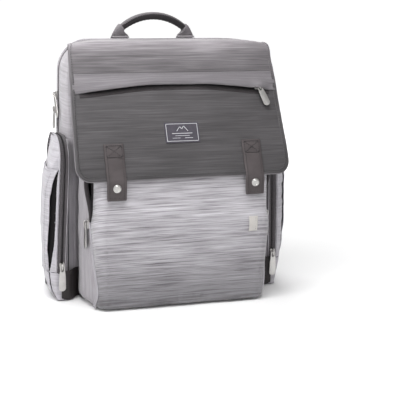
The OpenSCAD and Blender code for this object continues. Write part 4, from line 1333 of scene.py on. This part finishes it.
# ------------------------------------------------------------------ snap straps
for s, nm in ((-1, "left"), (1, "right")):
    cx = s * 116.0
    cl = "closure_" + nm
    # stitched patch on the flap
    rel = lambda x, v: relief(np.asarray(x, float), np.asarray(v, float))
    xs_ = np.linspace(-15.7, 15.7, 12)
    vsn = np.linspace(170.6, 195.0, 12)
    X, Vv = np.meshgrid(cx + xs_, vsn, indexing="ij")
    G = fpt(X, Vv, rel(X, Vv) + 2.3)
    sheet("strap_patch_" + nm, G, "leather", "flap_front", 2.2, out=(0, -1, 0.5), rep=("strap_patches",) if s < 0 else (), rim=0.3)
    b = [(-12.6, 173.4), (12.6, 173.4), (12.6, 192.2), (-12.6, 192.2), (-12.6, 173.4)]
    q = lambda pts: resample(np.array([fpt(cx + x, v, float(rel(cx + x, v)) + 2.45) for x, v in pts]), 40)
    stitches("strap_patch_stitch_" + nm, [(q(b), N_UP), (q([b[0], b[2]]), N_UP), (q([b[1], b[3]]), N_UP)], "threaddark", "flap_front", pitch=3.6, ln=2.9, r=0.72)
    # hanging tongue: down the flap, over its edge, then upright over the pocket
    pth = [fpt(0, v, float(rel(cx, v)) * 0.6 + 2.6)[1:] for v in np.linspace(193.4, 224, 8)]
    pth += [(-124.9, 213.2), (-126.0, 209.0), (-126.1, 203), (-125.8, 196), (-125.9, 189), (-126.6, 182.2)]
    pth = resample(pth, 36)
    ws = np.linspace(-15.5, 15.5, 14)
    G = np.zeros((14, 36, 3))
    for j, (y, z) in enumerate(pth):
        w_ = 1.0 - 0.02 * (j > 33) * (j - 33)
        G[:, j] = np.stack([cx + ws * w_, np.full(14, y) + 0.35 * (ws / 15.5) ** 2 * 0.8, np.full(14, z)], 1)
    ob = sheet("strap_tongue_" + nm, G, "leather", None, 2.1, out=(0, -1, 0.2), rep=("strap_" + nm,), rim=0.3)
    tuple(fpt(0, 190.0, 1.5) * 0.001)
    tuple(fpt(0, 199.0, 1.5) * 0.001)
    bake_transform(ob)
    e_ = [((G[1, :-1] + G[2, :-1]) / 2 + [0, -0.2, 0], (0, -1, 0)), ((G[-2, :-1] + G[-3, :-1]) / 2 + [0, -0.2, 0], (0, -1, 0)), (resample([G[1, -3] + [0, -0.25, 0], G[-2, -3] + [0, -0.25, 0]], 20), (0, -1, 0))]
    ob = stitches("strap_stitch_" + nm, e_, "threaddark", None, pitch=3.4, ln=2.5, r=0.48)
    tuple(fpt(0, 190.0, 1.5) * 0.001)
    tuple(fpt(0, 199.0, 1.5) * 0.001)
    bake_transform(ob)
    # snap: cap turned about Y
    cap_ = [(0.0, 2.3), (1.6, 2.3), (3.0, 2.15), (3.3, 2.2), (3.7, 2.95), (4.5, 3.0), (5.1, 2.5), (5.4, 1.6), (5.7, 1.5), (6.2, 1.25), (6.6, 0.6), (6.5, -0.1), (2.3, -0.2), (2.3, -2.4), (6.0, -2.4), (6.1, -3.0), (6.0, -5.6), (3.4, -5.6), (3.3, -3.2), (0.0, -3.2)]
    V, F = [], []
    sgm = 32
    for r_, h_ in cap_:
        for k in range(sgm):
            a = 2 * pi * k / sgm
            V.append((cx + r_ * cos(a), -125.9 - h_, 201 + r_ * sin(a)))
    for i in range(len(cap_) - 1):
        for k in range(sgm):
            F.append([i * sgm + k, i * sgm + (k + 1) % sgm, (i + 1) * sgm + (k + 1) % sgm, (i + 1) * sgm + k])
    me_v = np.array(V)
    ob = raw("snap_cap_" + nm, me_v, F, "snap", None)
    bm = bmesh.new(); bm.from_mesh(ob.data); bmesh.ops.remove_doubles(bm, verts=bm.verts, dist=1e-6); bmesh.ops.recalc_face_normals(bm, faces=bm.faces); bm.to_mesh(ob.data); bm.free()
    flat_shade(ob, 50)
    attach(ob, cl)
    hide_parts("snap_" + nm)

# tab label: a folded ribbon sewn to the pocket
px, pz0, pz1 = 115.0, 120.0, 144.0
G = np.zeros((10, 16, 3))
for a in range(10):
    for b in range(16):
        x = px - 7.6 + 15.2 * a / 9 + 0.8 * (b / 15)
        z = pz0 + (pz1 - pz0) * b / 15
        G[a, b] = (x, panel_y(x, z) - 0.9 - 3.0 * (1 - a / 9.0) ** 1.5 * sin(pi * (0.15 + 0.8 * b / 15)), z)
sheet("tab_ribbon", soften(G, 1), "tab", "bag", 0.8, out=(0, -1, 0), rep=("tab_label",))
stitches("tab_stitch", [(resample([G[7, 1] + [0, -0.4, 0], G[7, 14] + [0, -0.4, 0]], 12), (0, -1, 0))], "thread", "bag", pitch=3, ln=2, r=0.3)

# ------------------------------------------------------------------ flap seam, handle
G = np.zeros((60, 6, 3))
for a, x in enumerate(np.linspace(-150, 150, 60)):
    for b, (y, z) in enumerate([(12.5, 417.2), (14, 418.6), (17, 419.4), (20, 419.2), (23.5, 418.2), (25, 416.6)]):
        dz = -11.5 * np.clip((abs(x) - 112) / 58, 0, 1) ** 1.8 * 0.9
        G[a, b] = (x, y, z + dz)
sheet("flap_seam_strip", G, "flap", "bag", 1.2, out=(0, 0, 1), rep=("flap_seam",))
stitches("flap_seam_stitch", [(G[1:-1, 3] + [0, 0, 0.25], (0, 0, 1)), (G[1:-1, 2] + [0, -0.5, 0.25], (0, 0, 1))], "thread", "bag")

# grip: padded roll on an arc
R_ = 86.0
angs = np.linspace(radians(90 - 41), radians(90 + 41), 60)
gp = np.array([(R_ * cos(a), 72.0, 367 + R_ * sin(a)) for a in angs])
sec = []
for t in np.linspace(0, 2 * pi, 20, endpoint=False):
    sec.append((6.9 * np.sign(cos(t)) * abs(cos(t)) ** 0.85, 8.6 * np.sign(sin(t)) * abs(sin(t)) ** 0.85))
refv = np.array([(cos(a), 0, sin(a)) for a in angs])
gt = 1 - 0.16 * (np.abs(np.linspace(-1, 1, 60)) ** 3)     # slimmer where the ends are wrapped
sec = np.array(sec)
G = gp[:, None] + gt[:, None, None] * (sec[None, :, :1] * 0.93 * refv[:, None] + sec[None, :, 1:] * np.array([0, 1.0, 0]))
# ribs of the wrapped underside
rib = 0.28 * np.sin(np.arange(60) * 1.9)[:, None] * (sec[None, :, 0] < 3)
G += rib[..., None] * (G - gp[:, None]) / np.maximum(np.linalg.norm(G - gp[:, None], axis=2, keepdims=True), 1e-6)
# the lower, inner faces of the roll get the near-black cloth: painted shade for the grip's underside
V, F, FU, MI = G.reshape(-1, 3), [], [], []
for i in range(59):
    for j in range(20):
        F.append([i * 20 + j, (i + 1) * 20 + j, (i + 1) * 20 + (j + 1) % 20, i * 20 + (j + 1) % 20])
        FU.append([(i * 0.002, j * 0.0025), (i * 0.002 + 0.002, j * 0.0025), (i * 0.002 + 0.002, j * 0.0025 + 0.0025), (i * 0.002, j * 0.0025 + 0.0025)])
        MI.append(1 if min(sec[j, 0], sec[(j + 1) % 20, 0]) < 3.0 else 0)
for i in (0, 59):
    F.append([i * 20 + j for j in range(20)])
    FU.append([(0, 0)] * 20)
    MI.append(1)
raw("handle_grip_roll", V, F, ["grip", "grip_under_shade"], "handle", faceuv=FU, rep=("handle_grip",), matidx=MI)
for k, dx in enumerate((-1, 1)):
    q = gp + refv * 3.4 + np.array([0, dx * 8.3, 0])
    stitches("handle_stitch_%d" % k, [(q[4:-4], (0, dx, 0.2))], "thread", "handle", pitch=3.2, ln=2.2, r=0.35)
for s, nm in ((-1, "left"), (1, "right")):
    mm = np.array([s, 1, 1])
    # flared webbing, folded round the roll's end: a wide thin foot that narrows and thickens upwards
    lp = [(57.8, 419.9, 14.6, 2.3, 0), (57.8, 421.4, 14.2, 2.7, 1), (57.9, 424.0, 12.2, 4.2, 6), (57.9, 426.8, 10.0, 5.8, 14), (57.8, 429.4, 8.3, 7.0, 24), (57.2, 431.8, 7.0, 7.9, 36), (56.2, 433.8, 6.4, 8.4, 46), (55.2, 435.0, 6.1, 8.5, 50)]
    th_ = np.linspace(0, 2 * pi, 40, endpoint=False)
    G = []
    for x, z, w_, d_, tl in lp:
        cx_, cy_ = w_ * np.sign(np.cos(th_)) * np.abs(np.cos(th_)) ** 0.55, d_ * np.sign(np.sin(th_)) * np.abs(np.sin(th_)) ** 0.7
        G.append(np.stack([x + cx_ * cos(radians(tl)), 72 + cy_, z + cx_ * sin(radians(tl))], 1))
    G = np.stack(G, 1)
    sheet("handle_web_" + nm, G * mm, "web", "handle", 0, out=(G - np.array([52, 72, 432])) * mm, cu=True, cap0=True, cap1=True, rep=("handle_webbing",) if s < 0 else (),
          uv=lambda Q: np.stack([Q[..., 2], Q[..., 0] * 1.0 + Q[..., 1] * 0.6], -1) * 0.001)
    for k_, a_ in enumerate((24, 26, 34, 36)):
        row = resample((G[a_] + G[a_ + 1 if a_ % 2 == 0 else a_]) / 2, 24)[2:-2]
        stitches("handle_web_stitch_%s_%d" % (nm, k_), [(row * mm + np.array([0, -0.15, 0]), (0, -1, 0))], "thread", "handle", pitch=3.0, ln=2.0, r=0.34)
    stitches("handle_web_wrap_" + nm, [((G[21:40, -2]) * mm, (0, -1, 0.2))], "thread", "handle", pitch=3.0, ln=2.0, r=0.34)
    # foot sewn to the top
    G = np.zeros((10, 8, 3))
    for a, x in enumerate(np.linspace(43.5, 72.5, 10)):
        for b, y in enumerate(np.linspace(65.5, 77.0, 8)):
            G[a, b] = (x, y, 418.6 + 1.6 * sin(pi * b / 7) - 2.6 * smooth(y, 71, 77.5))
    sheet("handle_foot_" + nm, G * mm, "web", "bag", 2.2, out=(0, 0, 1), rep=("handle_anchors",) if s < 0 else ())

# ------------------------------------------------------------------ back panel and shoulder straps
nxb, nzb = 70, 90
G = np.zeros((nxb, nzb, 3))
for a, u in enumerate(np.linspace(-1, 1, nxb)):
    for b, t in enumerate(np.linspace(0, 1, nzb)):
        z = 19 + 372 * t
        c = 0.0
        if z > 352:
            c = 40 - math.sqrt(max(40 ** 2 - (z - 352) ** 2, 0))
        if z < 49:
            c = 30 - math.sqrt(max(30 ** 2 - (49 - z) ** 2, 0))
        x = u * (131 - c)
        edge = min(1 - abs(u), min(t, 1 - t) * 2.9)
        h = 7.2 * (1 - (1 - min(1, edge * 7)) ** 2)
        G[a, b] = (x, 78.6 + h, z)
pin_ = np.zeros((nxb, nzb))
pin_[0] = pin_[-1] = 1
pin_[:, 0] = pin_[:, -1] = 1
# quilting channels hold the padding down
zq = (110.0, 200.0, 290.0)
for zq_ in zq:
    k = np.argmin(np.abs(G[0, :, 2] - zq_))
    pin_[:, k] = 1
    G[:, k, 1] = np.minimum(G[:, k, 1], 81.2)
k = nxb // 2
pin_[k - 1:k + 1, :] = 1
G[k - 1:k + 1, :, 1] = np.minimum(G[k - 1:k + 1, :, 1], 81.2)
G = cloth(G, pin_, (0, 1, 0), pressure=2.5, shrink=-0.02, frames=18, cap=2.2, bend=0.3)
G[..., 1] = np.minimum(G[..., 1], 88.0)
BK = G
sheet("back_panel_mesh", G, "mesh", "bag", 1.6, out=(0, 1, 0), rep=("back_panel",))
bl = np.concatenate([G[:, 0], G[-1, 1:], G[::-1, -1][1:], G[0, ::-1][1:-1]])
tube("back_panel_binding", resample(bl, 330, True) + [0, -0.3, 0], 2.0, "binding", "bag", seg=9, closed=True)

yk = np.zeros((50, 10, 3))
for a, x in enumerate(np.linspace(-100, 100, 50)):
    for b, z in enumerate(np.linspace(373, 397, 10)):
        yk[a, b] = (x, 89.4 + 0.7 * sin(pi * b / 9), z)
sheet("shoulder_yoke_web", yk, "webdark", "bag", 1.6, out=(0, 1, 0), rep=("shoulder_yoke",))
stitches("shoulder_yoke_stitch", [(yk[1:-1, 1] + [0, 0.3, 0], (0, 1, 0)), (yk[1:-1, -2] + [0, 0.3, 0], (0, 1, 0))], "thread", "bag")

for s, nm in ((-1, "left"), (1, "right")):
    mm = np.array([s, 1, 1])
    # padded strap
    kz, kx_ = 60, 15
    loops = []
    for t in np.linspace(0, 1, kz):
        z = 389 - 190 * t
        xc = 57.5 + 12.5 * t
        w = 27.5 - 5.5 * smooth(t, 0.1, 1.0)
        if t > 0.93:
            w = w * math.sqrt(max(0.05, 1 - ((t - 0.93) / 0.075) ** 2 * 0.6))
        th = 5.6 * (1 if 0.04 < t < 0.97 else 0.55)
        a_ = np.linspace(0, 2 * pi, 34, endpoint=False)
        loops.append(np.stack([xc + w * np.sign(np.cos(a_)) * np.abs(np.cos(a_)) ** 0.5, 95.2 + th * np.sign(np.sin(a_)) * np.abs(np.sin(a_)) ** 0.6, np.full(34, z)], 1))
    G = np.stack(loops, 1)
    pin_ = np.zeros(G.shape[:2])
    pin_[:, 0] = pin_[:, -1] = 1
    pin_[[0, 17], :] = 1
    for kk in (14, 29, 44):
        pin_[:, kk] = 0.9
    outv = G - np.array([0, 95.2, 0])
    outv = np.stack([G[..., 0] - (57.5 + 12.5 * (389 - G[..., 2]) / 190), G[..., 1] - 95.2, 0 * G[..., 0]], 2)
    G = cloth(G, pin_, outv, cu=True, pressure=3.5, shrink=-0.01, frames=16, cap=1.6, bend=0.3)
    G[..., 1] = np.clip(G[..., 1], 89.0, 101.5)
    ob = sheet("shoulder_pad_" + nm, G * mm, "mesh", None, 0, out=outv * mm, cu=True, cap0=True, cap1=True, rep=("pad_" + nm,))
    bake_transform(ob)
    for tag, row in (("in", 17), ("out", 0)):
        ob = tube("shoulder_pad_binding_%s_%s" % (nm, tag), G[row] * mm, 1.5, "binding", None, seg=7)
        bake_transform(ob)
    # webbing down the pad's face, through the buckle, to the lower anchor
    wp = [(58.5, 101.2, 372), (66, 101.0, 290), (70, 100.4, 215), (71, 97, 199), (72, 95.2, 193)]
    wp = resample(wp, 40)
    G2 = np.stack([wp + np.array([t * 12.5, 0, 0]) for t in (-1, -0.5, 0, 0.5, 1)], 1)
    ob = sheet("shoulder_top_web_" + nm, G2 * mm, "webdark", None, 1.2, out=(0, 1, 0))
    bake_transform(ob)
    wp = resample([(73, 92.4, 181), (76, 91.2, 172), (86, 90.6, 136), (104, 90.4, 80), (113.5, 90.2, 46), (115.5, 90.4, 38)], 44)
    dirv = np.array([0.96, 0, 0.26])
    G2 = np.stack([wp + dirv * t * 12.0 for t in (-1, -0.5, 0, 0.5, 1)], 1)
    ob = sheet("shoulder_low_web_" + nm, G2 * mm, "webdark", None, 1.4, out=(0, 1, 0), rep=("webbing_" + nm,))
    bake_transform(ob)
    # buckle: frame and bars
    bk = mtx((s, 0, 0), (0, 0, 1), (0, s, 0) if False else (0, 1, 0), (s * 73, 94.4, 181))
    if s > 0:
        bk[:3, 0] = (-1, 0, 0)
    else:
        bk[:3, 0] = (-1, 0, 0)
    plate("ladder_lock_" + nm, [rounded(37, 29, 4), rounded(27, 6.0, 1.2, cy=6.6)[::-1], rounded(27, 6.0, 1.2, cy=-6.2)[::-1]], 3.8, 1.1, bk, "plastic", "buckle_" + nm, rep=("buckle_" + nm,))
    # lower anchor tab
    G = np.zeros((10, 9, 3))
    for a in range(10):
        for b in range(9):
            t = b / 8
            G[a, b] = (99 + 28 * a / 9 + 1.0 * t, 89.0 + 0.5 * sin(pi * t), 28 + (34 - 6 * abs(a / 9 - 0.4)) * t)
    sheet("lower_anchor_" + nm, G * mm, "webdark", "bag", 1.8, out=(0, 1, 0), rep=("lower_anchors",) if s < 0 else ())
    q = lambda pts: resample(np.array([(x, 90.0, z) for x, z in pts]) * mm, 30)
    stitches("lower_anchor_stitch_" + nm, [(q([(102, 31), (124, 31), (124, 52), (102, 52), (102, 31)]), (0, 1, 0)), (q([(102, 31), (124, 52)]), (0, 1, 0)), (q([(124, 31), (102, 52)]), (0, 1, 0))], "thread", "bag", pitch=3, ln=2)

# ------------------------------------------------------------------ zip sliders and pullers
def rotx(a):
    c, s_ = cos(a), sin(a)
    return np.array([[1, 0, 0], [0, c, -s_], [0, s_, c]])


def roty(a):
    c, s_ = cos(a), sin(a)
    return np.array([[c, 0, s_], [0, 1, 0], [-s_, 0, c]])


def rotz(a):
    c, s_ = cos(a), sin(a)
    return np.array([[c, -s_, 0], [s_, c, 0], [0, 0, 1]])


FRX = rotx(-radians(25.44))
fo = np.array([0, -24, 420.0]) + FRX @ np.array([142, -0.9, -82.5])
SL = [
    ("main_slider_upper", "main_puller_upper", rotz(-pi / 2), (-170, 45, 325), -35, 44, 0),
    ("main_slider_lower", "main_puller_lower", rotz(-pi / 2), (-170, 45, 302), 12, 38, 0),
    ("flap_slider", "flap_puller", FRX, fo, -18, 38, 1),
    ("front_slider_left", "front_puller_left", rotz(-pi / 2), (-150, -84, 137), 0, 44, 0),
    ("front_slider_right", "front_puller_right", rotz(pi / 2), (150, -84, 137), 0, 44, 0),
    ("side_slider_left", "side_puller_left", np.eye(3), (-185, -45, 58), 0, 44, 0),
    ("side_slider_right", "side_puller_right", np.eye(3), (185, -45, 58), 0, 44, 0),
]
for sn, pn, Fm, o, tilt, ln, across in SL:
    o = np.array(o, float)
    # plane of the tape: x right, z up, outward -y
    def pm(R, d):
        # columns of the plate frame: x, then up, then outward
        return mtx(R @ np.array([1, 0, 0]), R @ np.array([0, 0, 1]), R @ np.array([0, -1, 0]), o + R @ np.array([0, -d, 0]))
    outline = [(-2.9, -7), (2.9, -7), (3.6, -4), (3.9, 0), (4.5, 3.4), (4.2, 6.0), (2.6, 7.2), (0.6, 6.2), (0, 5.4), (-0.6, 6.2), (-2.6, 7.2), (-4.2, 6.0), (-4.5, 3.4), (-3.9, 0), (-3.6, -4)]
    Rs = Fm @ roty(pi / 2) if across else Fm
    th = 2.4 if across else 3.6
    plate(sn + "_body", [outline], th, 0.8, pm(Rs, 0.3 + th / 2), "metal", sn, rep=(sn,))
    Rt = Fm @ roty(radians(tilt))
    # bridge: a small arch over the slider
    bp0 = [(0, -0.6 - th, 5.7), (0, -5.6, 5.6), (0, -7.6, 5.1), (0, -8.5, 3.7), (0, -8.6, 1.0), (0, -8.0, -2.2), (0, -6.4, -4.0), (0, -0.6 - th, -5.2)]
    bp1 = resample(np.array([o + Rt @ np.array(p) for p in bp0]), 24)
    tube(sn + "_bridge", bp1, 0.95, "metal", sn, seg=10, ref=Rt @ np.array([1.0, 0, 0]), flat=1.35)
    # puller: lozenge plate with a slot, slimmer towards its head
    w2 = 5.75
    zt, zb = 4.0, 4.0 - ln
    ol = []
    for a in np.linspace(0, pi, 9):
        ol.append((3.9 * cos(a), zt - 2.6 + 2.6 * sin(a)))
    ol += [(-4.1, -3), (-4.7, -9), (-5.4, -16)]
    for a in np.linspace(pi, 2 * pi, 13):
        ol.append((w2 * cos(a), zb + w2 + w2 * sin(a)))
    ol += [(5.4, -16), (4.7, -9), (4.1, -3)]
    hole = rounded(4.6, 7.7, 1.2, cy=-2.85)[::-1]
    plate(pn + "_plate", [ol, hole], 1.7, 0.55, pm(Rt, 6.1), "metal", pn, rep=(pn,), res=3)
    # raised oval on the puller's face
    inner = [(3.5 * cos(a), zb + w2 + 3.0 + (6.6 if sin(a) > 0 else 4.4) * sin(a)) for a in np.linspace(0, 2 * pi, 28, endpoint=False)]
    plate(pn + "_pad", [inner], 0.5, 0.2, pm(Rt, 7.05), "metal", pn)

# ------------------------------------------------------------------ carried-over CAD nodes
for nme, mt in (("lining", "lining"), ("base_board", "board"), ("inner_pocket", "lining"), ("snap_studs", "snap")):
    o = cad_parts[nme]
    o.data.materials.clear()
    o.data.materials.append(M[mt])

# ------------------------------------------------------------------ floor, lights, camera
bpy.ops.mesh.primitive_plane_add(size=60, location=(0, 0, -0.0006))
floor = bpy.context.object
floor.name = "floor"
fm = Mat("floor_paper", Roughness=0.9)
fm.color(fm.ramp(fm.noise(fm.coord("Object", (1, 1, 1)), 3, 2), [(0.3, (0.93, 0.93, 0.93)), (0.7, (0.96, 0.96, 0.96))]))
# the paper sweep reads white in the picture without throwing extra light on the bag
fm.b.inputs["Emission Color"].default_value = (1, 1, 1, 1)
lpn = fm.n("ShaderNodeLightPath")
vl = fm.n("ShaderNodeVectorMath")
vl.operation = "LENGTH"
fm.l(fm.coord("Object", (1, 1, 1)), vl.inputs[0])
far = fm.math("MULTIPLY", fm.math("SUBTRACT", vl.outputs["Value"], 0.45), 1.1, True)
fm.l(fm.math("MULTIPLY", fm.math("MULTIPLY", lpn.outputs["Is Camera Ray"], far), 0.7), fm.b.inputs["Emission Strength"])
floor.data.materials.append(fm.m)

w = bpy.data.worlds.new("studio")
scn.world = w
w.use_nodes = True
w.node_tree.nodes["Background"].inputs[0].default_value = (1, 1, 1, 1)
w.node_tree.nodes["Background"].inputs[1].default_value = 0.36


def area(name, loc, target, size, power, sy=None):
    l = bpy.data.lights.new(name, "AREA")
    l.shape = "RECTANGLE"
    l.size, l.size_y = size, sy or size
    l.energy = power
    ob = bpy.data.objects.new(name, l)
    scn.collection.objects.link(ob)
    ob.location = loc
    d = Vector(target) - Vector(loc)
    ob.rotation_euler = d.to_track_quat("-Z", "Y").to_euler()
    return ob


area("back_top", (-0.1, 1.15, 1.6), (0, 0, 0.4), 1.5, 20, 0.8)
area("key_top", (-0.25, -0.45, 1.2), (0, -0.05, 0.35), 0.8, 12, 0.6)
area("key_left", (-1.8, -0.7, 0.8), (0, 0, 0.2), 1.2, 13, 1.4)
area("front_soft", (1.1, -2.2, 0.9), (0, 0, 0.2), 1.2, 7, 1.0)

yaw, el, roll, fpx, dist, tx, tz = -20.0995, 12.811, 1.5624, 1206.65, 2.06497, 0.06733, 0.14591
a, e = radians(yaw), radians(el)
back = Vector((sin(a) * cos(e), -cos(a) * cos(e), sin(e)))
cd = bpy.data.cameras.new("camera")
cd.sensor_width = 36
cd.sensor_fit = "HORIZONTAL"
cd.lens = fpx * 36 / 400
cam = bpy.data.objects.new("camera", cd)
scn.collection.objects.link(cam)
cam.location = Vector((tx, 0, tz)) + back * dist
fwd = -back
right = fwd.cross(Vector((0, 0, 1))).normalized()
up = right.cross(fwd)
rot = Matrix((right, up, back)).transposed()
cam.rotation_euler = (rot @ Matrix.Rotation(radians(roll), 3, "Z")).to_euler()
scn.camera = cam
scn.view_settings.view_transform = "Standard"
